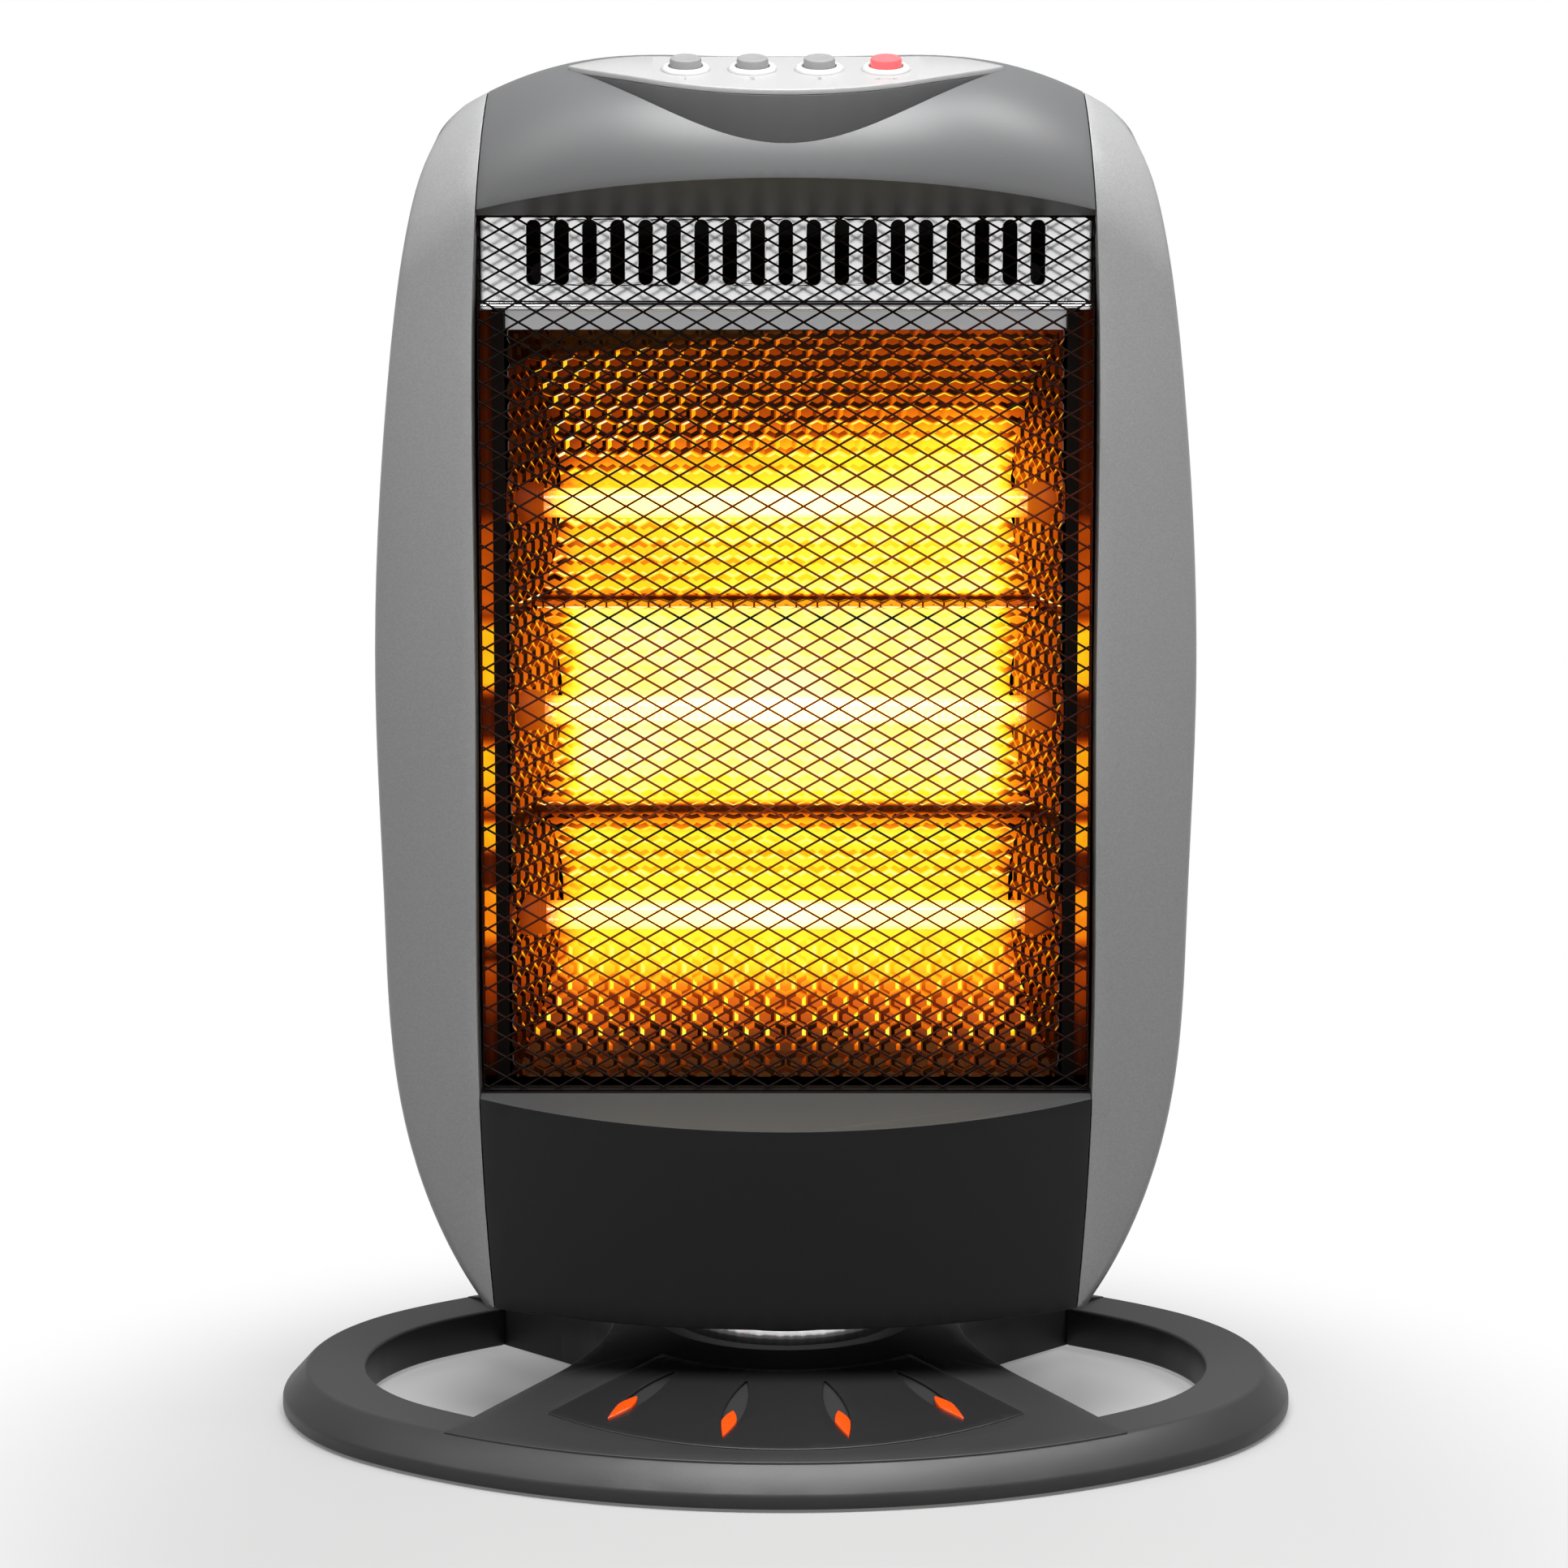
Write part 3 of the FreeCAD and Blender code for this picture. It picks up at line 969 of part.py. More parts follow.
def make_guard():
    half = s.centre_half_width * CENTRE_SHARES[4][1] - s.rest_gap
    low = s.opening_bottom + s.rest_gap
    high = s.opening_top - s.rest_gap
    plane = -s.guard_plane
    corners = [Vector(-half, plane, low), Vector(half, plane, low), Vector(half, plane, high),
               Vector(-half, plane, high), Vector(-half, plane, low)]
    columns = int((2 * half - 2 * s.guard_rim) / s.guard_pitch_x)
    rows = int((high - low - 2 * s.guard_rim) / s.guard_pitch_z)
    middle = (low + high) / 2
    strand = s.guard_sheet / 2
    gap_x = s.guard_pitch_x / 2 - strand * math.hypot(1, s.guard_pitch_x / s.guard_pitch_z)
    gap_z = s.guard_pitch_z / 2 - strand * math.hypot(1, s.guard_pitch_z / s.guard_pitch_x)
    gaps = []
    for row in range(2 * rows - 1):
        across = columns if row % 2 == 0 else columns - 1
        z = middle + (row - (rows - 1)) * s.guard_pitch_z / 2
        for column in range(across):
            x = (column - (across - 1) / 2) * s.guard_pitch_x
            gaps.append(Part.makePolygon([Vector(x - gap_x, plane, z), Vector(x, plane, z - gap_z),
                                          Vector(x + gap_x, plane, z), Vector(x, plane, z + gap_z),
                                          Vector(x - gap_x, plane, z)]))
        if across < columns:
            for side in (-1, 1):
                x = side * columns / 2 * s.guard_pitch_x
                gaps.append(Part.makePolygon([Vector(x, plane, z - gap_z), Vector(x - side * gap_x, plane, z),
                                              Vector(x, plane, z + gap_z), Vector(x, plane, z - gap_z)]))
    for side in (-1, 1):
        z = middle + side * rows / 2 * s.guard_pitch_z
        for column in range(columns - 1):
            x = (column - (columns - 2) / 2) * s.guard_pitch_x
            gaps.append(Part.makePolygon([Vector(x - gap_x, plane, z), Vector(x, plane, z - side * gap_z),
                                          Vector(x + gap_x, plane, z), Vector(x - gap_x, plane, z)]))
    face = Part.makeFace([Part.makePolygon(corners)] + gaps, "Part::FaceMakerBullseye")
    net = face.extrude(Vector(0, s.guard_sheet, 0))
    flanges = []
    for side in (-half, half - s.guard_sheet):
        flanges.append(Part.makeBox(s.guard_sheet, s.guard_flange, high - low, Vector(side, plane, low)))
    sub_part("mesh_guard", formed("mesh_guard_solid", net.fuse(flanges)))
    return len(gaps)


def make_vent_plate():
    plate = block("vent_sheet_blank", ("-vent_half_width", "-vent_plane", "vent_bottom"),
                  ("2 * vent_half_width", "vent_sheet", "opening_top - rest_gap - vent_bottom"))
    slots = []
    count = int(s.vent_slot_count)
    for number in range(count):
        across = f"{number - (count - 1) / 2} * vent_slot_pitch"
        slots.append(block("vent_slot", (across + " - vent_slot_width / 2", "-vent_plane - overrun",
                                         "vent_slot_bottom + vent_slot_width / 2"),
                           ("vent_slot_width", "vent_sheet + 2 * overrun",
                            "vent_slot_top - vent_slot_bottom - vent_slot_width")))
        for end in ("vent_slot_bottom + vent_slot_width / 2", "vent_slot_top - vent_slot_width / 2"):
            slots.append(rod("vent_slot_end", (across, "-vent_plane - overrun", end), "vent_slot_width / 2",
                             "vent_sheet + 2 * overrun", ALONG_Y))
    sub_part("vent_plate", carved("vent_plate_solid", plate, slots))

    sub_part("trim_rod", rod("trim_rod_solid", ("-vent_half_width", "-vent_plane - rod_radius",
                                                "vent_bottom - rod_radius"),
                             "rod_radius", "2 * vent_half_width", ALONG_X))
    strip_low = "reflector_top + rest_gap"
    sub_part("trim_strip",
             block("trim_strip_solid", ("rest_gap - carrier_half_width", "-reflector_front - vent_sheet",
                                                      strip_low),
                                 ("2 * (carrier_half_width - rest_gap)", "vent_sheet",
                                  f"vent_bottom - 2 * rod_radius - ({strip_low})")))


def tube_height(place):
    return s.middle_tube_height + place * s.tube_pitch


def end_trapezoid(inset):
    """Upright prism of the space between the slanted reflector ends."""
    front = Vector(s.cheek_front_half_width - inset, -s.reflector_front - s.overrun, 0)
    back = Vector(s.cheek_back_half_width - inset, s.trough_back + s.overrun, 0)
    points = [Vector(-front.x, front.y, 0), front, back, Vector(-back.x, back.y, 0),
              Vector(-front.x, front.y, 0)]
    return prism(Part.makePolygon(points), s.head_top)


def trough_wire(depth):
    """Side section of the reflector's face, moved back by a depth, as open edges from bottom to top."""
    edges = []
    ends = []
    ridges = []
    for side, limit in ((-1, s.reflector_bottom), (1, s.reflector_top)):
        ridge = Vector(0, s.ridge_back + depth, tube_height(side / 2))
        end = Vector(0, -s.reflector_front + depth, limit)
        points = [ridge]
        for along, deep in OUTER_TROUGH_SHARES:
            back = s.ridge_back + deep * (s.trough_back - s.ridge_back) + depth
            points.append(Vector(0, back, ridge.z + along * (end.z - ridge.z)))
        curve = Part.BSplineCurve()
        curve.interpolate(points + [end])
        edges.append(curve.toShape())
        ends.append(end)
        ridges.append(ridge)
    edges.append(Part.Arc(ridges[0], Vector(0, s.trough_back + depth, tube_height(0)), ridges[1]).toShape())
    return edges, ends[0], ends[1]


def make_reflector():
    face_edges, face_low, face_high = trough_wire(0)
    back_edges, back_low, back_high = trough_wire(s.reflector_sheet)
    ends = [Part.makeLine(face_low, back_low), Part.makeLine(face_high, back_high)]
    section = Part.Face(Part.Wire(Part.__sortEdges__(face_edges + back_edges + ends)))
    section.translate(Vector(-FAR / 2, 0, 0))
    sheet_metal = section.extrude(Vector(FAR, 0, 0)).common(end_trapezoid(s.rest_gap))
    sub_part("reflector", formed("reflector_solid", sheet_metal))

    slant = end_trapezoid(-s.reflector_sheet).cut(end_trapezoid(0))
    band = Part.makeBox(FAR, FAR, s.reflector_top - s.reflector_bottom,
                        Vector(-FAR / 2, -FAR / 2, s.reflector_bottom))
    cheeks = slant.common(band).common(depth_slab(-s.reflector_front, s.trough_back))
    for place in TUBE_PLACES.values():
        at = Vector(-FAR / 2, -s.tube_plane, tube_height(place))
        cheeks = cheeks.cut(Part.makeCylinder(s.cap_radius + s.rest_gap, FAR, at, Vector(1, 0, 0)))
    left, right = sorted(cheeks.Solids, key=lambda solid: solid.BoundBox.Center.x)
    sub_part("left_cheek", formed("left_cheek_solid", left))
    sub_part("right_cheek", formed("right_cheek_solid", right))


def make_carriers():
    for label, start in (("left_carrier", "-carrier_half_width - carrier_width"),
                         ("right_carrier", "carrier_half_width")):
        bar = block(label + "_bar", (start, "-carrier_front", "reflector_bottom"),
                    ("carrier_width", "carrier_front + shield_back",
                     "vent_bottom - 2 * rod_radius - reflector_bottom"))
        holes = []
        for place in TUBE_PLACES.values():
            holes.append(rod(label + "_hole", (start + " - overrun", "-tube_plane",
                                               f"middle_tube_height + {place} * tube_pitch"),
                             "cap_radius", "carrier_width + 2 * overrun", ALONG_X))
        sub_part(label, carved(label + "_solid", bar, holes))


COIL_LENGTH = s.tube_length - 2 * s.coil_cold_end


def coil_wire(height):
    """One unbroken helix of half-turn arcs along X with straight leads, swept by the wire's circle."""
    turns = int(s.coil_turns)
    step = COIL_LENGTH / turns
    edges = []
    points = []
    start_x = -COIL_LENGTH / 2
    for number in range(4 * turns + 1):
        angle = math.pi / 2 * number
        points.append(Vector(start_x + step * number / 4, -s.tube_plane + s.coil_radius * math.sin(angle),
                             height + s.coil_radius * math.cos(angle)))
    for number in range(0, 4 * turns, 2):
        edges.append(Part.Arc(*points[number:number + 3]).toShape())
    path = Part.Wire(edges)
    tangent = edges[0].tangentAt(edges[0].FirstParameter)
    ring = Part.Wire([Part.Circle(points[0], tangent, s.coil_wire_radius).toShape()])
    return path.makePipeShell([ring], True, False)


def make_tubes():
    caps = []
    for name, place in TUBE_PLACES.items():
        height = f"middle_tube_height + {place} * tube_pitch"
        glass = rod(name + "_glass", ("-tube_length / 2", "-tube_plane", height), "tube_radius",
                    "tube_length", ALONG_X)
        hollow = rod(name + "_hollow", ("-tube_length / 2 - overrun", "-tube_plane", height),
                     "tube_radius - tube_wall", "tube_length + 2 * overrun", ALONG_X)
        sub_part(name + "_tube", carved(name + "_tube_solid", glass, [hollow]))
        sub_part(name + "_coil", formed(name + "_coil_solid", coil_wire(tube_height(place))))
        for side in (-1, 1):
            inner = "tube_length / 2 - cap_seat"
            start = f"-({inner}) - cap_length" if side < 0 else inner
            cap = rod(name + "_cap_body", (start, "-tube_plane", height), "cap_radius", "cap_length", ALONG_X)
            seat_start = "-tube_length / 2" if side < 0 else f"{inner} - overrun"
            seat = rod(name + "_cap_seat", (seat_start, "-tube_plane", height), "tube_radius",
                       "cap_seat + overrun", ALONG_X)
            caps.append(carved(name + "_cap", cap, [seat]))
    sub_part("tube_caps", grouped("tube_caps_group", caps))


def make_shield():
    sheet_metal = block("shield_blank",
                        ("-carrier_half_width - carrier_width", "shield_back", "reflector_bottom"),
                        ("2 * (carrier_half_width + carrier_width)", "shield_sheet",
                         "rear_screw_high + 2 * shield_boss_radius - reflector_bottom"))
    skirt = block("shield_skirt", ("-carrier_half_width - carrier_width", "shield_back",
                                   "rear_screw_low - 2 * shield_boss_radius"),
                  ("2 * (carrier_half_width + carrier_width)", "shield_sheet",
                   "reflector_bottom - rear_screw_low + 2 * shield_boss_radius"))
    holes = []
    shanks = []
    for side in ("-", ""):
        for height in ("rear_screw_low", "rear_screw_high"):
            at = side + "shield_screw_half_span"
            holes.append(rod("shield_hole", (at, "shield_back - overrun", height), "shield_screw_radius",
                             "shield_sheet + 2 * overrun", ALONG_Y))
            head = rod("shield_screw_head", (at, "shield_back - screw_head_height", height),
                       "screw_head_radius",
                       "screw_head_height", ALONG_Y)
            shank = rod("shield_screw_shank", (at, "shield_back", height), "shield_screw_radius",
                        "shield_sheet + 4 * screw_head_height", ALONG_Y)
            shanks.append(fused("shield_screw", [head, shank]))
    sub_part("heat_shield", carved("heat_shield_solid", fused("shield_body", [sheet_metal, skirt]), holes))
    sub_part("shield_screws", grouped("shield_screws_group", shanks))
    sub_part("thermal_cutout",
             rod("thermal_cutout_solid", ("0", "shield_back + shield_sheet", "cutout_place"),
                                   "cutout_radius", "cutout_height", ALONG_Y))


def make_rear_fittings():
    screws = []
    for side in ("-", ""):
        for height in ("rear_screw_low", "rear_screw_high"):
            at = side + "rear_screw_half_span"
            head = rod("rear_screw_head", (at, "head_back - screw_head_height", height), "screw_head_radius",
                       "screw_head_height - seam", ALONG_Y)
            shank = rod("rear_screw_shank", (at, "head_split - rear_lug_depth", height),
                        "shield_screw_radius",
                        "head_back - screw_head_height - head_split + rear_lug_depth", ALONG_Y)
            screws.append(fused("rear_screw", [head, shank]))
    sub_part("rear_screws", grouped("rear_screws_group", screws))

    cup = block("grip_pocket", ("-grip_width / 2", "head_back - grip_depth", "grip_middle - grip_height / 2"),
                ("grip_width", "grip_depth", "grip_height"))
    flange = block("grip_rim", ("-grip_width / 2 - grip_flange", "head_back - shell_wall - grip_wall",
                                "grip_middle - grip_height / 2 - grip_flange"),
                   ("grip_width + 2 * grip_flange", "grip_wall", "grip_height + 2 * grip_flange"))
    hollow = block("grip_hollow", ("-grip_width / 2 + grip_wall", "head_back - grip_depth + grip_wall",
                                   "grip_middle - grip_height / 2 + grip_wall"),
                   ("grip_width - 2 * grip_wall", "grip_depth + overrun", "grip_height - 2 * grip_wall"))
    sub_part("grip_cup", carved("grip_cup_solid", fused("grip_body", [cup, flange]), [hollow]))

    barrel = rod("gland_barrel", ("gland_place", "head_back - 2 * shell_wall", "gland_height"),
                 "gland_radius",
                 "2 * shell_wall", ALONG_Y)
    rim = rod("gland_rim", ("gland_place", "head_back", "gland_height"), "gland_flange_radius",
              "gland_flange_height", ALONG_Y)
    bore = rod("gland_bore", ("gland_place", "head_back - 2 * shell_wall - overrun", "gland_height"),
               "gland_bore_radius", "2 * shell_wall + gland_flange_height + 2 * overrun", ALONG_Y)
    sub_part("cord_gland", carved("cord_gland_solid", fused("gland_body", [barrel, rim]), [bore]))

    sub_part("terminal_block", block("terminal_block_solid", ("block_place - block_length / 2",
                                                              "head_back - shell_wall - block_depth",
                                                              "block_bottom"),
                                     ("block_length", "block_depth", "block_height")))


def lead(points):
    """Round lead through points, with a ball at every corner."""
    shape = None
    for start, end in zip(points, points[1:]):
        run = Part.makeCylinder(s.lead_radius, (end - start).Length, start, end - start)
        shape = run if shape is None else shape.fuse(run)
    for corner in points[1:-1]:
        shape = shape.fuse(Part.makeSphere(s.lead_radius, corner))
    return shape


def make_wiring():
    depth = s.head_back - s.shell_wall - s.block_depth / 2
    top = s.block_bottom + s.block_height
    bank = BUTTON_ROW - PANEL_NORMAL * (s.switch_depth + s.switch_height)
    ceiling = bank.z - 3 * s.lead_radius
    leads = []
    for number in range(3):
        across = s.block_place + (number - 0.5) * 4 * s.lead_radius
        run = s.lead_run_place + (number - 1) * 4 * s.lead_radius
        leads.append(lead([Vector(across, depth, top), Vector(across, depth, ceiling),
                           Vector(run, depth, ceiling),
                           Vector(run, bank.y, ceiling), Vector(run, bank.y, bank.z - s.rest_gap)]))
    sub_part("wiring", formed("wiring_solids", Part.makeCompound(leads)))


def make_head():
    outer = rounded_head()
    inner = hollow_form()
    top = make_cover(outer, inner, s.opening_top, s.upper_facet_rise, True)
    bottom = make_cover(outer, inner, s.opening_bottom, s.lower_facet_fall, False)
    sub_part("bottom_cover", formed("bottom_cover_solid", bottom))
    sub_part("left_panel", formed("left_panel_solid", make_side_panel(outer, inner, -1)))
    sub_part("right_panel", formed("right_panel_solid", make_side_panel(outer, inner, 1)))
    sub_part("rear_cover", formed("rear_cover_solid", make_rear_cover(outer, inner)))
    make_controls(outer, top)


make_base_ring()
make_bridge()
make_inlay()
make_feet()
make_swivel()
make_gears()
make_floor_plate()
make_motor()
make_tip_switch()
make_head()
guard_gaps = make_guard()
make_vent_plate()
make_reflector()
make_carriers()
make_tubes()
make_shield()
make_rear_fittings()
make_wiring()
doc.recompute()

faults = [item.Label for item in doc.Objects if "Invalid" in item.State or "Error" in item.State]
faults += [item.Label for item in sub_parts if item.Shape.isNull() or not item.Shape.isValid()]
if faults:
    raise RuntimeError("these pieces failed: " + ", ".join(faults))

os.makedirs("parts", exist_ok=True)
for item in sub_parts:
    item.Shape.exportStep(os.path.join("parts", item.Label + ".step"))
print(len(sub_parts), "nodes;", guard_gaps, "gaps in the guard;",
      "coil step", round(COIL_LENGTH / s.coil_turns - 2 * s.coil_wire_radius, 2), "mm clear")
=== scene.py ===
"""Looks of a free-standing quartz heater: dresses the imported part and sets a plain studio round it."""

import json
import math

import bmesh
import bpy
from bpy.props import FloatProperty, FloatVectorProperty, IntProperty, PointerProperty
from mathutils import Matrix, Vector
from mathutils.bvhtree import BVHTree

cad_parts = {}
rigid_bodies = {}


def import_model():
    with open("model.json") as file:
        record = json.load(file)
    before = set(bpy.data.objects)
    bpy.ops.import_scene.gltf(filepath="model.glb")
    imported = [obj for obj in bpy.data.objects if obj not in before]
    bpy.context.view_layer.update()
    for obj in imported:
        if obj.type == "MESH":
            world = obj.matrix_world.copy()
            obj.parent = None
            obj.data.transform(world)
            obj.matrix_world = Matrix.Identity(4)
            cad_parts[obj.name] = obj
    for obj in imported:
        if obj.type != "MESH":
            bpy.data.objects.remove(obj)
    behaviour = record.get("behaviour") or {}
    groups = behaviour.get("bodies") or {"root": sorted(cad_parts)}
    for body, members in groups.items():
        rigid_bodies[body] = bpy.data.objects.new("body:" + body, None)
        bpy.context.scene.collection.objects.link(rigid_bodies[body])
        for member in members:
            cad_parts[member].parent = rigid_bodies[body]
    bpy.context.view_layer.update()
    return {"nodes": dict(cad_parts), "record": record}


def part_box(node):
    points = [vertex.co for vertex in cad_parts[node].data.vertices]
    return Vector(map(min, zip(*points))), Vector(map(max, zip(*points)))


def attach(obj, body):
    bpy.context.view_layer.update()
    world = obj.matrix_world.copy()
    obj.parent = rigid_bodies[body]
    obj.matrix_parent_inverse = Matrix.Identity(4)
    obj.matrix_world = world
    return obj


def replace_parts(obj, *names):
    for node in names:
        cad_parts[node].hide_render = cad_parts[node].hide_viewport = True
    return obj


bl_info = {
    "name": "Quartz Heater",
    "version": (1, 0, 0),
    "blender": (4, 5, 0),
    "location": "View3D > Sidebar > Heater",
    "description": "Dresses a packed quartz heater and sets a studio round it",
    "category": "Object",
}

for leftover in list(bpy.data.objects):
    bpy.data.objects.remove(leftover)
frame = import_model()
NODES = frame["nodes"]
RECORD = frame["record"]

MM = 0.001
LOOKS = {}
TUBES = ("lower", "middle", "upper")
BUTTONS = ("button_low", "button_medium", "button_high", "button_swing")
EASED = ("base_ring", "base_bridge", "bridge_inlay", "accent_inserts", "top_cover", "bottom_cover",
         "rear_cover", "left_panel", "right_panel", "control_pod", "control_panel", "grip_cup", "vent_plate",
         "swivel_disc")
BUTTON_SIGNS = {"button_low": "1", "button_medium": "2", "button_high": "3"}

# The control panel's own frame: its tilt, and the middle of the row of buttons on its face.
PANEL_TILT = math.radians(10.0)
BUTTON_ROW = Vector((0.0, -0.042872, 0.468554))
PANEL_FRAME = Matrix.Translation(BUTTON_ROW) @ Matrix.Rotation(PANEL_TILT, 4, "X")

# A button's crown from its rim inwards, as (share of the rim's rounding, share of the rise), and then its
# dish, as (share of the dish's radius, share of the rise).
CROWN_SHARES = ((0.0, 0.78571), (0.16667, 0.91667), (0.53333, 0.9881), (1.0, 1.0), (1.46667, 0.95238))
DISH_SHARES = ((1.0, 0.90476), (0.0, 0.89286))
# A collar's outside from its foot inwards, as (share of the ring's width, share of the rise).
COLLAR_SHARES = ((0.98062, 0.33333), (0.8062, 0.73333), (0.49612, 0.96667), (0.26357, 1.0), (0.06977, 0.9),
                 (0.0, 0.66667))
# A screw's dome, as (share of the head's radius, share of the head's height), its shank and its cross recess.
DOME_SHARES = ((1.0, 0.45), (0.9, 0.15), (0.72, 0.0))
SHANK_SHARE = 0.47
TIP_SHARE = 0.7
CROSS_ARM_SHARE = 0.52
CROSS_HALF_SHARE = 0.13
CROSS_DEPTH_SHARE = 0.55

# Middle corner of a side strip's folds, as a share of the fold.
FOLD_SHARE = 0.3

# Fineness of the turned, wound and bored forms, and the distances for merging and cutting.
BUTTON_STEPS = 48
TUBE_STEPS = 40
CAP_STEPS = 36
SCREW_STEPS = 24
TURN_STEPS = 14
WIRE_SIDES = 6
BORE_SIDES = 20
LINE_STEPS = 300
LINE_MARGIN_SHARE = 0.001
LINE_ASIDE = 0.3 * MM
LINE_START = -1000.0 * MM
MERGE = 0.001 * MM
CUT = 0.0001 * MM
WELD = 0.01 * MM
HEAD_TOP = 0.1 * MM
EASE_SEGMENTS = 3
EASE_ANGLE = math.radians(28.0)


# Sizes and colours

def length(title, about, default):
    return FloatProperty(name=title, description=about, default=default, min=0.0, subtype="DISTANCE",
                         unit="LENGTH")


def colour(title, about, default):
    return FloatVectorProperty(name=title, description=about, default=default, size=3, min=0.0, max=1.0,
                               subtype="COLOR")


class HeaterSizes(bpy.types.PropertyGroup):
    """Sizes of the pieces that the solids leave coarse."""

    comb_cell: length("Honeycomb cell", "Width of one pressed cell of the reflector", 0.0072)
    comb_land: length("Honeycomb land", "Flat land between two cells", 0.0003)
    comb_slope: length("Honeycomb slope", "Width of a cell's sloping wall", 0.0013)
    comb_depth: length("Honeycomb depth", "Depth of a pressed cell", 0.0009)
    comb_sheet: length("Reflector sheet", "Thickness of the reflector", 0.0003)
    guard_cell_width: length("Guard cell width", "Opening of the guard, across", 0.0119)
    guard_cell_height: length("Guard cell height", "Opening of the guard, upright", 0.0069)
    guard_strand: length("Guard strand", "Thickness of the guard's strands", 0.00075)
    strip_setback: length("Strip setback", "Side strips behind the carriers' fronts", 0.006)
    strip_depth: length("Strip depth", "Depth of a side strip along its carrier", 0.018)
    strip_fold: length("Strip fold", "Rounding of a side strip's folds", 0.001)
    tube_wall: length("Tube wall", "Thickness of a quartz tube's wall", 0.001)
    cap_cover: length("Cap cover", "How far a ceramic cap reaches over its tube", 0.006)
    cap_edge: length("Cap edge", "Bevels and groove of a ceramic cap", 0.0006)
    coil_turns: IntProperty(name="Coil turns", description="Turns of one heating coil", default=64, min=8)
    coil_wire: length("Coil wire", "Radius of the heating wire", 0.0004)
    button_rise: length("Button rise", "Height of a button over the control panel", 0.0042)
    button_round: length("Button rounding", "Rounding of a button's rim", 0.0015)
    dish_radius: length("Button dish", "Radius of the dish in a button's crown", 0.0014)
    skirt_depth: length("Button skirt", "Depth of a button's skirt under the panel", 0.003)
    stem_radius: length("Button stem", "Radius of a button's stem", 0.0025)
    stem_depth: length("Button stem depth", "Depth of a button's stem under the panel", 0.012)
    collar_bore: length("Collar bore", "Radius of a collar's hole", 0.00562)
    collar_radius: length("Collar radius", "Outer radius of a collar", 0.0082)
    collar_rise: length("Collar rise", "Height of a collar over the panel", 0.0015)
    screw_head: length("Screw head", "Height of a rear screw's head", 0.0018)
    facet_height: length("Facet height", "Height of the lower cover's upper facet", 0.014)
    edge_ease: length("Eased edge", "Rounding of the mouldings' edges", 0.0004)
    ring_ease: length("Eased ring edge", "Rounding of the base ring's edges", 0.0016)
    sign_height: length("Sign height", "Height of the numbers beside the buttons", 0.0042)
    sign_gap: length("Sign gap", "Distance of a sign from its button's middle", 0.0116)
    sign_sheet: length("Sign thickness", "Thickness of the signs", 0.00006)
    sign_lift: length("Sign lift", "Height of a sign's middle over the panel", 0.00002)
    arrow_line: length("Arrow line", "Width of the double arrow's line", 0.0005)
    arrow_length: length("Arrow length", "Length of the double arrow's line", 0.0044)
    arrow_head: length("Arrow head", "Radius of the double arrow's heads", 0.0013)
    arrow_reach: length("Arrow reach", "Distance of an arrow head from the arrow's middle", 0.0028)


class HeaterColours(bpy.types.PropertyGroup):
    """Colours of the heater's finishes."""

    silver: colour("Silver lacquer", "Side panels and swivel disc", (0.33, 0.33, 0.332))
    smoke: colour("Smoke grey", "Top cover", (0.105, 0.106, 0.108))
    pod: colour("Pod grey", "Control pod", (0.064, 0.064, 0.066))
    # Lighter grey for the lower cover's upward faces: painted light from above.
    facet: colour("Facet grey", "Upper facet of the lower cover", (0.056, 0.056, 0.057))
    black: colour("Satin black", "Lower cover and rear cover", (0.008, 0.008, 0.0085))
    ring: colour("Ring grey", "Oval ring of the base", (0.034, 0.034, 0.035))
    bridge: colour("Bridge black", "Bridge of the base", (0.03, 0.03, 0.031))
    inlay: colour("Inlay graphite", "Fan-shaped inlay", (0.016, 0.016, 0.017))
    accent: colour("Accent orange", "Leaf inserts of the base", (0.92, 0.085, 0.006))
    panel: colour("Panel grey", "Control panel", (0.32, 0.32, 0.32))
    button: colour("Button grey", "Power buttons", (0.22, 0.22, 0.224))
    swing: colour("Button red", "Swing button", (0.86, 0.11, 0.12))
    guard: colour("Guard", "Mesh guard", (0.004, 0.0034, 0.003))
    foot: colour("Foot rubber", "Feet of the base", (0.015, 0.015, 0.015))
    collar: colour("Collar white", "Collars round the buttons", (0.44, 0.44, 0.44))
    sign: colour("Sign grey", "Signs beside the buttons", (0.2, 0.2, 0.2))
    # Real black of the tube carriers; on the heat shield the same black is painted shade.
    carrier: colour("Carrier black", "Tube carriers and heat shield", (0.005, 0.003, 0.002))
    # The caps' dark colour is painted shade, with the reflector's painted glow on top of it.
    ceramic: colour("Ceramic", "Caps of the tubes", (0.02, 0.006, 0.0015))
    nylon: colour("Nylon", "Gears of the swing drive", (0.68, 0.67, 0.62))
    fitting: colour("Fitting black", "Rear cover and fittings", (0.02, 0.02, 0.021))
    lead: colour("Lead cover", "Wiring", (0.2, 0.03, 0.02))
    steel: colour("Chassis steel", "Brackets and plates", (0.16, 0.16, 0.16))
    zinc: colour("Screw zinc", "Rear screws", (0.5, 0.5, 0.51))
    bright: colour("Bright sheet", "Vent plate, rod and swivel disc", (0.92, 0.92, 0.93))
    satin: colour("Satin strip", "Strip over the reflector", (0.62, 0.62, 0.63))
    # Dark metal under the painted glow of the reflector, its ends and the side strips; the glow stands for
    # their reflection of the tubes.
    mirror: colour("Mirror under painted glow", "Reflector, its ends and the side strips", (0.03, 0.012, 0.004))


# Shader helpers

def node(tree, kind, **settings):
    made = tree.nodes.new(kind)
    for name, value in settings.items():
        setattr(made, name, value)
    return made


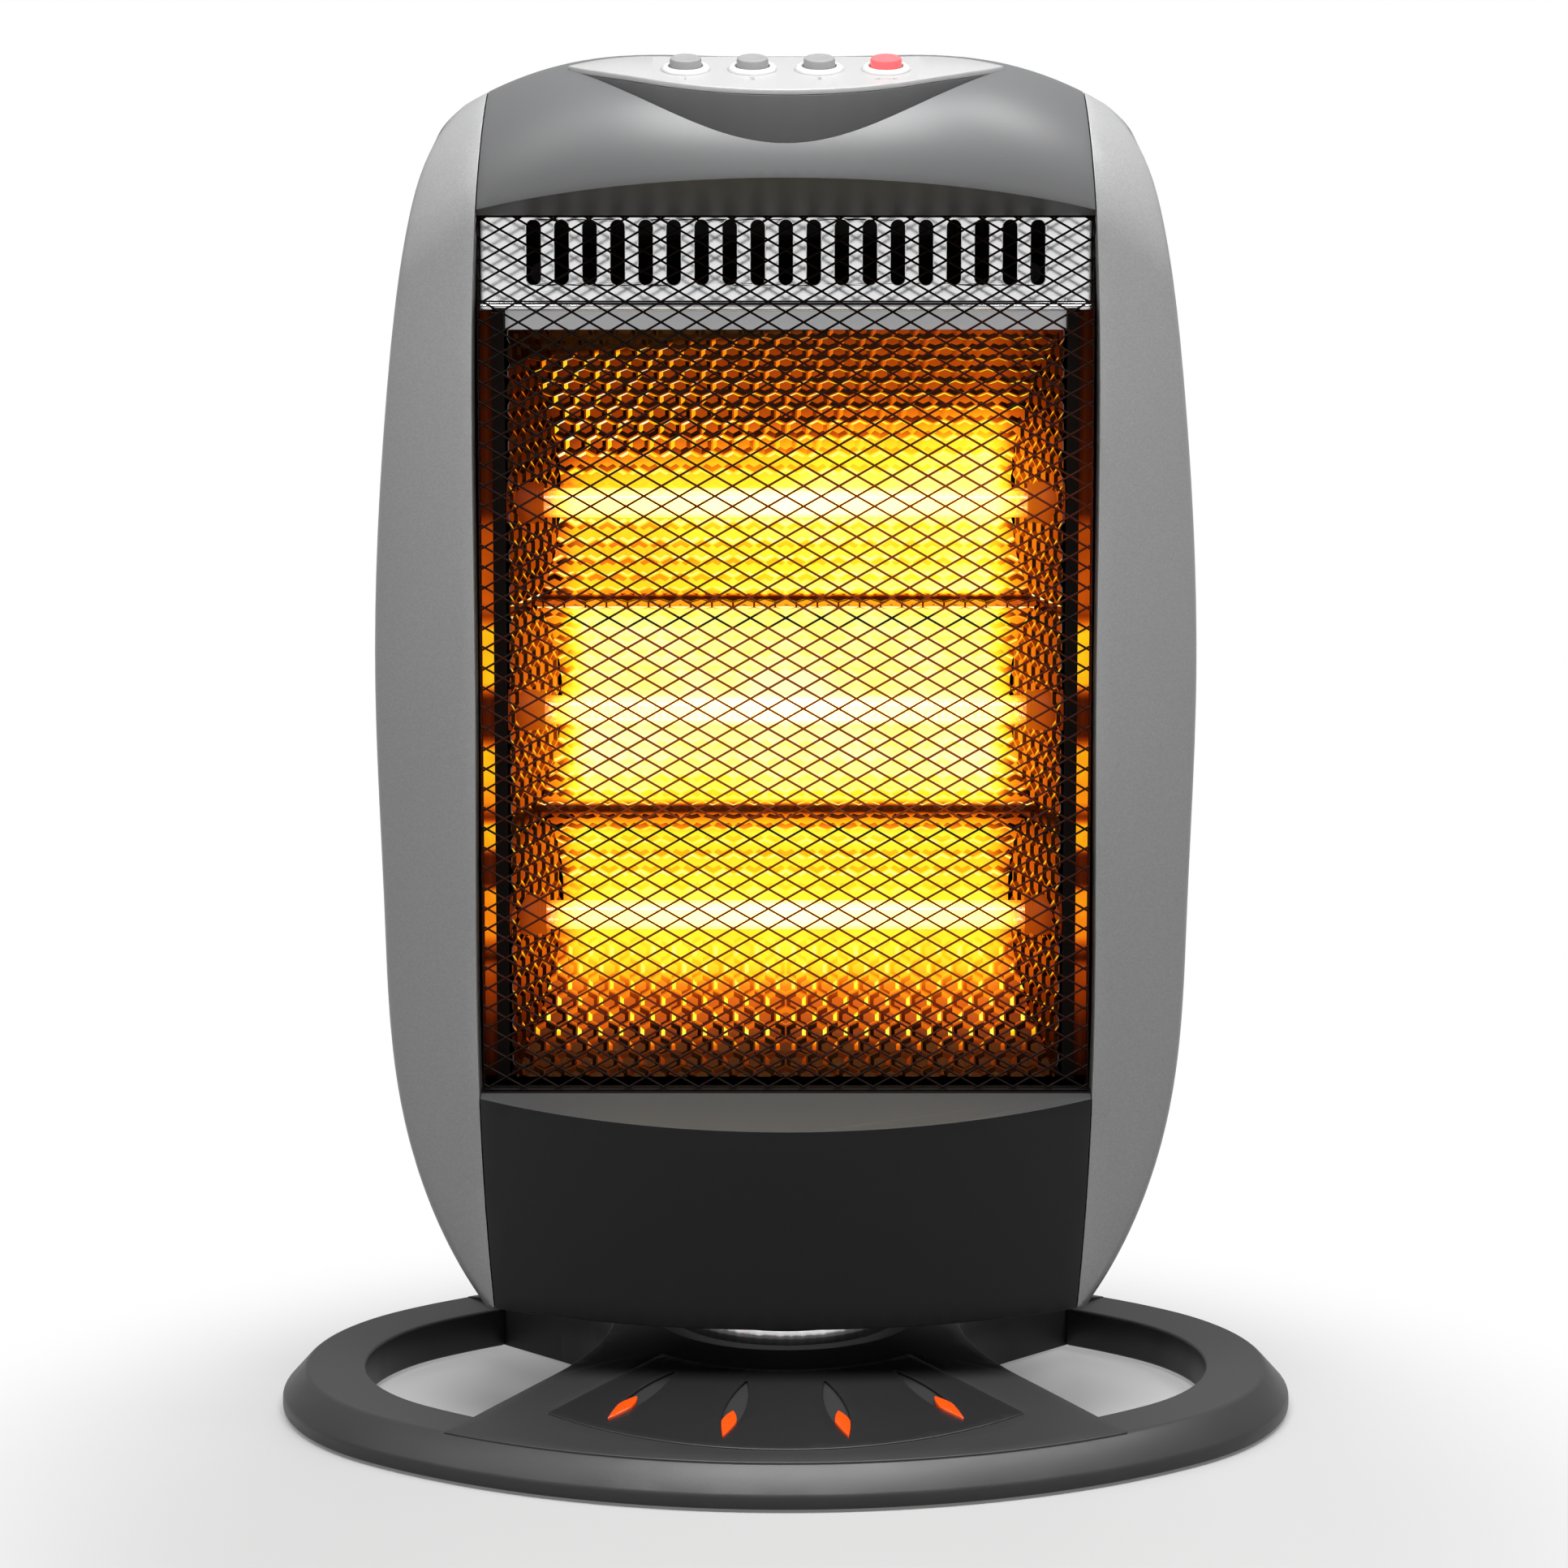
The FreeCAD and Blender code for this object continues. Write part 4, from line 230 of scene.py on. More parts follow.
def math_node(tree, operation, first, second=None):
    """Math node; an input is a number or another node's output."""
    made = node(tree, "ShaderNodeMath", operation=operation)
    for socket, value in zip(made.inputs, (first, second)):
        if isinstance(value, (int, float)):
            socket.default_value = value
        elif value is not None:
            tree.links.new(value, socket)
    return made.outputs[0]


def times(tree, first, second):
    return math_node(tree, "MULTIPLY", first, second)


def plus(tree, first, second):
    return math_node(tree, "ADD", first, second)


def minus(tree, first, second):
    return math_node(tree, "SUBTRACT", first, second)


def fix(made, values):
    """Set a node's inputs to plain values."""
    for title, value in values.items():
        made.inputs[title].default_value = value


def object_place(tree):
    """Object coordinates, split into X, Y and Z."""
    split = node(tree, "ShaderNodeSeparateXYZ")
    tree.links.new(node(tree, "ShaderNodeTexCoord").outputs["Object"], split.inputs[0])
    return split.outputs


def map_range(tree, value, low, high, top=1.0, kind="LINEAR"):
    """A value mapped from low and high to 0 and a top, and held there."""
    made = node(tree, "ShaderNodeMapRange", interpolation_type=kind)
    fix(made, {"From Min": low, "From Max": high, "To Max": top})
    tree.links.new(value, made.inputs["Value"])
    return made.outputs["Result"]


def ramp(tree, source, stops):
    """Colour ramp from (place, colour) stops; a number stands for a grey."""
    made = node(tree, "ShaderNodeValToRGB")
    band = made.color_ramp
    while len(band.elements) < len(stops):
        band.elements.new(0.5)
    for element, (place, shade) in zip(band.elements, stops):
        element.position = place
        element.color = (shade,) * 3 + (1.0,) if isinstance(shade, (int, float)) else tuple(shade) + (1.0,)
    tree.links.new(source, made.inputs["Fac"])
    return made.outputs["Color"]


def group(name, inputs, outputs):
    """Empty shader group with named sockets; returns the tree and its two ends."""
    tree = bpy.data.node_groups.new(name, "ShaderNodeTree")
    for title, kind, default in inputs:
        socket = tree.interface.new_socket(title, in_out="INPUT", socket_type=kind)
        socket.default_value = default
    for title, kind in outputs:
        tree.interface.new_socket(title, in_out="OUTPUT", socket_type=kind)
    return tree, node(tree, "NodeGroupInput"), node(tree, "NodeGroupOutput")


def noise(tree, scale, detail=2.0, vector=None):
    made = node(tree, "ShaderNodeTexNoise")
    made.inputs["Detail"].default_value = detail
    if isinstance(scale, (int, float)):
        made.inputs["Scale"].default_value = scale
    else:
        tree.links.new(scale, made.inputs["Scale"])
    if vector is None:
        vector = node(tree, "ShaderNodeTexCoord").outputs["Object"]
    tree.links.new(vector, made.inputs["Vector"])
    return made.outputs["Fac"]


def scaled_colour(tree, tint, factor):
    """A colour times a value."""
    made = node(tree, "ShaderNodeVectorMath", operation="SCALE")
    tree.links.new(tint, made.inputs[0])
    tree.links.new(factor, made.inputs["Scale"])
    return made.outputs[0]


def spread(tree, middle, source, width):
    """A value round a middle, moved by a 0 to 1 source."""
    return plus(tree, middle, times(tree, minus(tree, source, 0.5), width))


def bump(tree, height, distance, strength):
    """Bump from a height; the strength is a number or another node's output."""
    made = node(tree, "ShaderNodeBump")
    tree.links.new(height, made.inputs["Height"])
    made.inputs["Distance"].default_value = distance
    if isinstance(strength, (int, float)):
        made.inputs["Strength"].default_value = strength
    else:
        tree.links.new(strength, made.inputs["Strength"])
    return made.outputs["Normal"]


VALUE = "NodeSocketFloat"
COLOUR = "NodeSocketColor"
SURFACE = (("Color", COLOUR), ("Roughness", VALUE), ("Normal", "NodeSocketVector"))
GRAIN_DEPTH = 0.1 * MM
PEEL_DEPTH = 0.05 * MM
LINE_DEPTH = 0.01 * MM


def stir_surface(tree, start, end, source, tone, gloss):
    """Let a 0 to 1 source stir a surface group's colour and roughness."""
    factor = spread(tree, 1.0, source, tone)
    tree.links.new(scaled_colour(tree, start.outputs["Color"], factor), end.inputs["Color"])
    tree.links.new(spread(tree, start.outputs["Roughness"], source, gloss), end.inputs["Roughness"])


def make_grain_group():
    """Fine spark-eroded grain of a moulding, with slow changes of tone and gloss."""
    tree, start, end = group(
        "moulded_grain",
        (("Color", COLOUR, (0.1, 0.1, 0.1, 1.0)), ("Tone", VALUE, 0.15), ("Grain", VALUE, 900.0),
         ("Depth", VALUE, 0.15), ("Roughness", VALUE, 0.45), ("Spread", VALUE, 0.12)), SURFACE)
    slow = noise(tree, 14.0, 4.0)
    fine = noise(tree, start.outputs["Grain"], 3.0)
    both = plus(tree, times(tree, slow, 0.6), times(tree, fine, 0.4))
    stir_surface(tree, start, end, both, start.outputs["Tone"], start.outputs["Spread"])
    tree.links.new(bump(tree, fine, GRAIN_DEPTH, start.outputs["Depth"]), end.inputs["Normal"])
    return tree


def make_flake_group():
    """Silver lacquer: fine flakes that vary in tone, and a faint orange-peel surface."""
    tree, start, end = group(
        "lacquer_flake",
        (("Color", COLOUR, (0.3, 0.3, 0.3, 1.0)), ("Flake", VALUE, 0.25), ("Roughness", VALUE, 0.35)),
        SURFACE)
    coordinates = node(tree, "ShaderNodeTexCoord").outputs["Object"]
    cells = node(tree, "ShaderNodeTexVoronoi")
    fix(cells, {"Scale": 2600.0})
    tree.links.new(coordinates, cells.inputs["Vector"])
    shade = node(tree, "ShaderNodeSeparateColor")
    tree.links.new(cells.outputs["Color"], shade.inputs[0])
    slow = noise(tree, 9.0, 3.0, coordinates)
    mixed = plus(tree, times(tree, shade.outputs[0], 0.55), times(tree, slow, 0.45))
    stir_surface(tree, start, end, mixed, start.outputs["Flake"], 0.08)
    peel = noise(tree, 420.0, 2.0, coordinates)
    tree.links.new(bump(tree, peel, PEEL_DEPTH, 0.08), end.inputs["Normal"])
    return tree


def make_drawn_group():
    """Drawn or rolled metal with fine lines along X."""
    tree, start, end = group(
        "drawn_lines",
        (("Color", COLOUR, (0.6, 0.6, 0.6, 1.0)), ("Tone", VALUE, 0.25), ("Roughness", VALUE, 0.25)),
        SURFACE)
    mapping = node(tree, "ShaderNodeMapping")
    fix(mapping, {"Scale": (4.0, 420.0, 420.0)})
    tree.links.new(node(tree, "ShaderNodeTexCoord").outputs["Object"], mapping.inputs["Vector"])
    lines = noise(tree, 1.0, 4.0, mapping.outputs["Vector"])
    cloud = noise(tree, 30.0, 3.0)
    both = plus(tree, times(tree, lines, 0.6), times(tree, cloud, 0.4))
    stir_surface(tree, start, end, both, start.outputs["Tone"], 0.15)
    tree.links.new(bump(tree, lines, LINE_DEPTH, 0.06), end.inputs["Normal"])
    return tree


# Painted reflection of the tubes' glow on the reflector by height, dark at the two ridges and towards the
# edges, as (share of the reflector's height, glow).
PAINTED_GLOW_BANDS = (
    (0.0, 0.01), (0.031, 0.06), (0.06, 0.32), (0.085, 0.42), (0.1, 0.54), (0.118, 0.71), (0.14, 0.8),
    (0.2, 0.84), (0.275, 0.78), (0.3, 0.86), (0.325, 0.6), (0.338, 0.42), (0.342, 0.07), (0.352, 0.07),
    (0.357, 0.86), (0.4, 0.97), (0.487, 1.0), (0.58, 0.97), (0.617, 0.92), (0.621, 0.07), (0.633, 0.07),
    (0.637, 0.86), (0.682, 0.78), (0.737, 0.86), (0.764, 0.9), (0.791, 0.79), (0.815, 0.7), (0.85, 0.46),
    (0.875, 0.32), (0.95, 0.27), (0.99, 0.2), (1.0, 0.0),
)
# Painted glow across the reflector, darker towards its ends, as (share of its half width, glow).
PAINTED_GLOW_SIDES = ((0.0, 1.0), (0.74, 0.97), (0.79, 0.84), (0.83, 0.62), (0.88, 0.53), (0.94, 0.46), (1.0, 0.3))
# Colours of the painted glow, from dark to bright, as (glow, colour).
PAINTED_GLOW_COLOURS = (
    (0.0, (0.004, 0.0005, 0.0)), (0.12, (0.07, 0.007, 0.0005)), (0.25, (0.26, 0.028, 0.001)),
    (0.38, (0.6, 0.09, 0.003)), (0.52, (0.95, 0.24, 0.005)), (0.66, (1.0, 0.56, 0.008)),
    (0.8, (1.0, 0.88, 0.03)), (0.92, (1.0, 0.94, 0.24)), (1.0, (1.0, 0.96, 0.5)),
)
# The two ridges between the tubes' troughs, in the same share of the height, and their half width.
RIDGES = (0.347, 0.627)
RIDGE_WIDTH = 0.006
# Height of the upper tube in the same share, and how far the painted glow above it leans up towards the
# right.
UPPER_TUBE = 0.765
GLOW_LEAN = 0.044
# How far the painted glow of the upper trough darkens towards the left, how the glow's sides waver and how
# cloudy it is.
UPPER_SLANT = 0.16
SIDE_WAVER = 0.03
CLOUD = 0.3
# Scales of the noise that makes the sides waver and of the clouds, and the glow's level under the clouds.
WAVER_SCALE = 26.0
CLOUD_SCALE = 38.0
CALM_LEVEL = 0.98
# Room that the painted glow leaves for a cell's painted highlight: its gain, its curve, its least value, and
# how soon the highlight starts.
ROOM_GAIN = 1.1
ROOM_CURVE = 1.5
ROOM_LEAST = 0.04
SHINE_START = 7.0
# Share of the glow that lights other pieces.
LIT_SHARE = 0.06
# Strength of the painted glow on the pressed sheets and the side strips, and of the glow of the quartz tubes
# and the heating wire.
SHEET_GLOW = 1.12
STRIP_GLOW = 1.0
QUARTZ_GLOW = 0.6
WIRE_GLOW = 1.2
# Colours along a tube from its middle, as (share of the half length that the glow spans, colour).
TUBE_COLOURS = ((0.0, (1.0, 0.86, 0.36)), (0.82, (1.0, 0.72, 0.16)), (0.88, (0.95, 0.4, 0.03)),
                (0.93, (0.5, 0.1, 0.006)), (1.0, (0.12, 0.02, 0.001)))
TUBE_SPAN = 0.9


def reflector_height(tree, place):
    """Share of the reflector's height at a place."""
    low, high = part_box("reflector")
    return math_node(tree, "DIVIDE", minus(tree, place["Z"], low.z), high.z - low.z)


def make_painted_glow_group():
    """Painted reflection of the tubes' glow on the reflector by place, stirred by cloudy noise and by the
    painted highlights of the pressed cells.
    """
    tree, start, end = group("heat_glow", (("Shine", VALUE, 0.0), ("Gain", VALUE, 1.0)), (("Color", COLOUR),))
    place = object_place(tree)
    sideways = math_node(tree, "DIVIDE", place["X"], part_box("reflector")[1].x)
    across = math_node(tree, "ABSOLUTE", sideways)
    upright = reflector_height(tree, place)
    above = map_range(tree, upright, UPPER_TUBE, UPPER_TUBE + GLOW_LEAN, top=GLOW_LEAN)
    waver = times(tree, minus(tree, noise(tree, WAVER_SCALE, 2.0), 0.5), SIDE_WAVER)
    sides = ramp(tree, plus(tree, across, waver), PAINTED_GLOW_SIDES)
    bands = ramp(tree, minus(tree, upright, times(tree, above, sideways)), PAINTED_GLOW_BANDS)
    upper = map_range(tree, upright, RIDGES[1], RIDGES[1] + 2 * RIDGE_WIDTH)
    slant = times(tree, times(tree, upper, sideways), UPPER_SLANT)
    # The level called heat here is the painted glow that stands for the tubes' reflection, with painted shade
    # at the ridges and ends.
    heat = times(tree, times(tree, sides, bands), plus(tree, slant, start.outputs["Gain"]))
    cloud = times(tree, minus(tree, noise(tree, CLOUD_SCALE, 5.0), 0.5), CLOUD)
    calm = times(tree, heat, plus(tree, cloud, CALM_LEVEL))
    dimness = math_node(tree, "POWER", minus(tree, 1.0, heat), ROOM_CURVE)
    room = plus(tree, times(tree, dimness, ROOM_GAIN), ROOM_LEAST)
    ready = math_node(tree, "MINIMUM", times(tree, heat, SHINE_START), 1.0)
    lift = times(tree, times(tree, start.outputs["Shine"], room), ready)
    tree.links.new(ramp(tree, plus(tree, calm, lift), PAINTED_GLOW_COLOURS), end.inputs["Color"])
    return tree


def place_group(tree, tool, **values):
    made = node(tree, "ShaderNodeGroup", node_tree=tool)
    fix(made, values)
    return made


def new_look(name):
    """Material under a finish's name, with its tree and its Principled shader."""
    LOOKS[name] = bpy.data.materials.new(name)
    LOOKS[name].use_nodes = True
    tree = LOOKS[name].node_tree
    return tree, tree.nodes["Principled BSDF"]


def finish(name, tool, tint, metallic=0.0, specular=0.5, coat=0.0, coat_roughness=0.1, **values):
    """Material with one surface group feeding a Principled shader."""
    tree, shader = new_look(name)
    surface = place_group(tree, tool, Color=tuple(tint) + (1.0,), **values)
    tree.links.new(surface.outputs["Color"], shader.inputs["Base Color"])
    tree.links.new(surface.outputs["Roughness"], shader.inputs["Roughness"])
    tree.links.new(surface.outputs["Normal"], shader.inputs["Normal"])
    fix(shader, {"Metallic": metallic, "Specular IOR Level": specular, "Coat Weight": coat,
                 "Coat Roughness": coat_roughness})


def glow_strength(tree, strength):
    """Full strength where the glow is seen, and a small share of it where it lights other pieces."""
    return times(tree, math_node(tree, "MAXIMUM", seen_rays(tree), LIT_SHARE), strength)


def glow(tree, shader, tint, strength):
    """Let a shader glow in a colour."""
    tree.links.new(tint, shader.inputs["Emission Color"])
    tree.links.new(glow_strength(tree, strength), shader.inputs["Emission Strength"])


def glow_painted_sheet(name, tool, tint, roughness):
    """Bright sheet with the tubes' glow painted on it as its reflection."""
    tree, shader = new_look(name)
    surface = place_group(tree, tool)
    shine = node(tree, "ShaderNodeAttribute", attribute_name="shine")
    tree.links.new(shine.outputs["Fac"], surface.inputs["Shine"])
    glow(tree, shader, surface.outputs["Color"], SHEET_GLOW)
    fix(shader, {"Base Color": tuple(tint) + (1.0,), "Metallic": 1.0, "Roughness": roughness})


def add_painted_glow(name, tool, gain, strength):
    """Paint a little of the reflector's painted glow onto a finish, as the light that it throws there."""
    tree = LOOKS[name].node_tree
    glow(tree, tree.nodes["Principled BSDF"], place_group(tree, tool, Gain=gain).outputs["Color"], strength)


def tube_glow(tree):
    """Glow along a tube: brightest in its middle, cooling towards the caps."""
    aside = math_node(tree, "ABSOLUTE", object_place(tree)["X"])
    across = math_node(tree, "DIVIDE", aside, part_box("middle_coil")[1].x)
    return ramp(tree, times(tree, across, TUBE_SPAN), TUBE_COLOURS)


# Painted reflection of the glow on the side strips by height, in the share of the reflector's height, with
# painted dark patches between.
STRIP_BANDS = (
    (0.0, 0.0), (0.06, 0.05), (0.1, 0.2), (0.15, 0.3), (0.16, 0.05), (0.19, 0.5), (0.25, 0.55), (0.26, 0.1),
    (0.3, 0.12), (0.31, 0.6), (0.34, 0.6), (0.35, 0.15), (0.37, 0.55), (0.44, 0.62), (0.46, 0.1),
    (0.51, 0.1), (0.53, 0.64), (0.6, 0.66), (0.62, 0.25), (0.64, 0.36), (0.74, 0.3), (0.76, 0.08),
    (0.86, 0.05), (1.0, 0.02),
)


def make_strip_painted_glow(tint):
    """Smooth bright strip with the tubes' glow painted on it in patches, as its reflection."""
    tree, shader = new_look("strip_heat")
    upright = reflector_height(tree, object_place(tree))
    patches = plus(tree, times(tree, noise(tree, 90.0, 3.0), 0.4), 0.8)
    # The level called heat here is the painted reflection of the tubes' glow on the strip.
    heat = times(tree, ramp(tree, upright, STRIP_BANDS), patches)
    glow(tree, shader, ramp(tree, heat, PAINTED_GLOW_COLOURS), STRIP_GLOW)
    fix(shader, {"Base Color": tuple(tint) + (1.0,), "Metallic": 1.0, "Roughness": 0.4})


def make_quartz():
    """Clear quartz that glows with its coil and is clouded a little."""
    tree, shader = new_look("quartz")
    fix(shader, {"Base Color": (1.0, 0.97, 0.9, 1.0), "Transmission Weight": 1.0, "IOR": 1.46})
    glow(tree, shader, tube_glow(tree), QUARTZ_GLOW)
    clouded = ramp(tree, noise(tree, 120.0, 4.0), ((0.3, 0.02), (0.8, 0.14)))
    tree.links.new(clouded, shader.inputs["Roughness"])


def make_hot_wire():
    """Heating coil, brighter than its tube."""
    tree, shader = new_look("hot_wire")
    glow(tree, shader, tube_glow(tree), WIRE_GLOW)
    fix(shader, {"Base Color": (0.3, 0.2, 0.12, 1.0), "Metallic": 1.0, "Roughness": 0.4})


# Mesh helpers

# Edges that turn by less than this, in degrees, are shaded smooth.
TURNED_SMOOTH = 35.0
PRESSED_SMOOTH = 12.0
GUARD_SMOOTH = 20.0
WIRE_SMOOTH = 70.0


def piece(name, form, body, slot, *materials, smooth=TURNED_SMOOTH):
    """Object from a bmesh that rides on a CAD body and takes the finishes named in its materials; its slot is
    not used.
    """
    form.normal_update()
    limit = math.radians(smooth)
    for face in form.faces:
        face.smooth = True
    for edge in form.edges:
        edge.smooth = len(edge.link_faces) == 2 and edge.calc_face_angle(math.pi) < limit
    mesh = bpy.data.meshes.new(name)
    form.to_mesh(mesh)
    form.free()
    made = bpy.data.objects.new(name, mesh)
    bpy.context.scene.collection.objects.link(made)
    for material in materials:
        mesh.materials.append(LOOKS[material])
    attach(made, body)
    return made


def turned(form, profile, steps, frame_matrix, closed=False):
    """Turn a profile of (radius, height) about the Z axis of a frame and add it to a bmesh."""
    part = bmesh.new()
    corners = [part.verts.new((radius, 0.0, height)) for radius, height in profile]
    edges = [part.edges.new(pair) for pair in zip(corners, corners[1:])]
    if closed:
        edges.append(part.edges.new((corners[-1], corners[0])))
    bmesh.ops.spin(part, geom=corners + edges, cent=(0, 0, 0), axis=(0, 0, 1), angle=2 * math.pi, steps=steps,
                   use_merge=True, use_duplicate=False)
    bmesh.ops.remove_doubles(part, verts=part.verts, dist=MERGE)
    bmesh.ops.recalc_face_normals(part, faces=part.faces)
    bmesh.ops.transform(part, matrix=frame_matrix, verts=part.verts)
    add_form(form, part)


def add_form(form, part):
    """Move one bmesh's faces into another."""
    mesh = bpy.data.meshes.new("part")
    part.to_mesh(mesh)
    part.free()
    form.from_mesh(mesh)
    bpy.data.meshes.remove(mesh)


def along_x(x, y, z):
    """Frame whose Z axis points along X."""
    return Matrix.Translation((x, y, z)) @ Matrix.Rotation(math.pi / 2, 4, "Y")


def clip(form, at, outwards, keep=False):
    """Cut a form along a plane; what lies outside goes, unless it is kept."""
    bmesh.ops.bisect_plane(form, geom=form.verts[:] + form.edges[:] + form.faces[:], dist=CUT, plane_co=at,
                           plane_no=outwards, clear_outer=not keep)


# Pieces

def honeycomb(sizes, width, height):
    """Flat sheet of pressed hexagonal cells in the XY plane, from y = 0 to a height; cells sink along -Z."""
    form = bmesh.new()
    radius = sizes.comb_cell / math.sqrt(3)
    for row in range(int(height / (1.5 * radius)) + 2):
        columns = int(width / sizes.comb_cell) + 2
        for column in range(columns):
            x = (column - (columns - 1) / 2 + 0.5 * (row % 2)) * sizes.comb_cell
            bmesh.ops.create_circle(form, cap_ends=True, segments=6, radius=radius,
                                    matrix=Matrix.Translation((x, 1.5 * radius * row, 0.0)))
    bmesh.ops.remove_doubles(form, verts=form.verts, dist=radius * 0.05)
    cells = form.faces[:]
    bmesh.ops.recalc_face_normals(form, faces=cells)
    if cells[0].normal.z < 0:
        bmesh.ops.reverse_faces(form, faces=cells)
    bmesh.ops.inset_individual(form, faces=cells, thickness=sizes.comb_land, depth=0.0, use_even_offset=True)
    bmesh.ops.inset_individual(form, faces=cells, thickness=sizes.comb_slope, depth=-sizes.comb_depth,
                               use_even_offset=True)
    for at, outwards in (((0, 0, 0), (0, -1, 0)), ((0, height, 0), (0, 1, 0)),
                         ((width / 2, 0, 0), (1, 0, 0)), ((-width / 2, 0, 0), (-1, 0, 0))):
        clip(form, at, outwards)
    steepest = sizes.comb_depth / math.hypot(sizes.comb_depth, sizes.comb_slope)
    across = form.faces.layers.float.new("across")
    upright = form.faces.layers.float.new("upright")
    form.normal_update()
    for face in form.faces:
        face[across] = face.normal.x / steepest
        face[upright] = face.normal.y / steepest
    return form


def reflector_line():
    """Front line of the reflector's solid, bottom to top, with running lengths, by rays from the front."""
    solid = NODES["reflector"].data
    hits = BVHTree.FromPolygons([corner.co for corner in solid.vertices],
                                [face.vertices for face in solid.polygons])
    low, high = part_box("reflector")
    line = []
    run = 0.0
    for step in range(LINE_STEPS + 1):
        share = LINE_MARGIN_SHARE + (1 - 2 * LINE_MARGIN_SHARE) * step / LINE_STEPS
        height = low.z + (high.z - low.z) * share
        hit = hits.ray_cast(Vector((LINE_ASIDE, LINE_START, height)), Vector((0, 1, 0)))[0]
        point = Vector((0.0, hit.y, height))
        if line:
            run += (point - line[-1][1]).length
        line.append((run, point))
    return line


def bend_to_line(form, line):
    """Lay a flat sheet on a line in the YZ plane: y runs along the line, z stands out to the front."""
    steps = len(line) - 1
    spot = 0
    for corner in sorted(form.verts, key=lambda vert: vert.co.y):
        while spot < steps - 1 and line[spot + 1][0] < corner.co.y:
            spot += 1
        start, end = line[spot], line[spot + 1]
        along = (end[1] - start[1]).normalized()
        outwards = Vector((0.0, -along.z, along.y))
        place = start[1] + along * (corner.co.y - start[0]) + outwards * corner.co.z
        corner.co = (corner.co.x, place.y, place.z)


# Painted strokes of light on the pressed cells. They change this far below the lowest tube and above the
# highest one, and a cell's painted light turns from its upper wall to its lower one over the reach of a tube.
LOW_STROKES = 14.0 * MM
HIGH_STROKES = 12.0 * MM
TUBE_REACH = 8.0 * MM
# Lean from which a face counts as a wall. Then a low stroke's gain, offset and limits, and a high stroke's
# gain across, how that gain falls towards the right, and its gain upright.
WALL_LEAN = 0.2
LOW_GAIN = 1.5
LOW_OFFSET = 0.55
LOW_LIMITS = (-0.3, 0.75)
HIGH_ACROSS = 0.3
HIGH_FALL = 0.4
HIGH_UPRIGHT = 0.85


def held(value, low, high):
    return max(low, min(high, value))


def low_stroke(x, across, upright):
    """Light of a low cell's face: strongest on the side wall that leans to the middle, none on its floor."""
    if math.hypot(across, upright) < WALL_LEAN:
        return 0.0
    return held(math.copysign(LOW_GAIN, -x) * across - LOW_OFFSET, *LOW_LIMITS)


def high_stroke(aside, across, upright):
    """Light of a high cell's face: on its upper walls, and slanting up to the right on the left side."""
    return held((HIGH_ACROSS - HIGH_FALL * aside) * across - HIGH_UPRIGHT * upright, -1.0, 1.0)


def light_cells(form, inwards):
    """Store each face's painted highlight: how far each wall of a cell leans towards its tube, or towards the
    middle at the slanted ends.
    """
    shine = form.faces.layers.float.new("shine")
    across = form.faces.layers.float["across"]
    upright = form.faces.layers.float["upright"]
    heights = [sum(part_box(name + "_tube")[end].z for end in (0, 1)) / 2 for name in TUBES]
    low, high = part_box("reflector")
    for face in form.faces:
        place = face.calc_center_median()
        share = (place.z - low.z) / (high.z - low.z)
        height = min(heights, key=lambda tube: abs(tube - place.z))
        if abs(share - RIDGES[0]) < RIDGE_WIDTH:
            face[shine] = 0.0
        elif abs(share - RIDGES[1]) < RIDGE_WIDTH:
            face[shine] = math.hypot(face[across], face[upright])
        elif inwards:
            face[shine] = face[across] * inwards
        elif place.z < min(heights) - LOW_STROKES:
            face[shine] = low_stroke(place.x, face[across], face[upright])
        elif place.z > max(heights) + HIGH_STROKES:
            face[shine] = high_stroke(place.x / high.x, face[across], face[upright])
        else:
            face[shine] = face[upright] * held((height - place.z) / TUBE_REACH, -1.0, 1.0)


def bore(form, tube, play):
    """Cut the hole that a tube's cap passes through, along X, as a polygon of tangents."""
    low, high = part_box(tube + "_tube")
    cap_low, cap_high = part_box("tube_caps")
    centre = (low + high) / 2
    radius = (cap_high.y - cap_low.y) / 2 + play
    tangents = [Vector((0.0, math.cos(turn), math.sin(turn)))
                for turn in (2 * math.pi * step / BORE_SIDES for step in range(BORE_SIDES))]
    for outwards in tangents:
        near = [face for face in form.faces
                if (face.calc_center_median() - centre).yz.length < 2 * radius]
        rims = {edge for face in near for edge in face.edges}
        tips = {vert for face in near for vert in face.verts}
        bmesh.ops.bisect_plane(form, geom=near + list(rims) + list(tips), dist=CUT,
                               plane_co=centre + outwards * radius, plane_no=outwards)
    inside = [face for face in form.faces
              if all((face.calc_center_median() - centre).dot(outwards) < radius for outwards in tangents)]
    bmesh.ops.delete(form, geom=inside, context="FACES")


def thicken(form, thickness):
    """Give a sheet its thickness; its back and edges take the second finish."""
    fronts = set(form.faces)
    bmesh.ops.solidify(form, geom=form.faces[:], thickness=thickness)
    for face in form.faces:
        face.material_index = 0 if face in fronts else 1


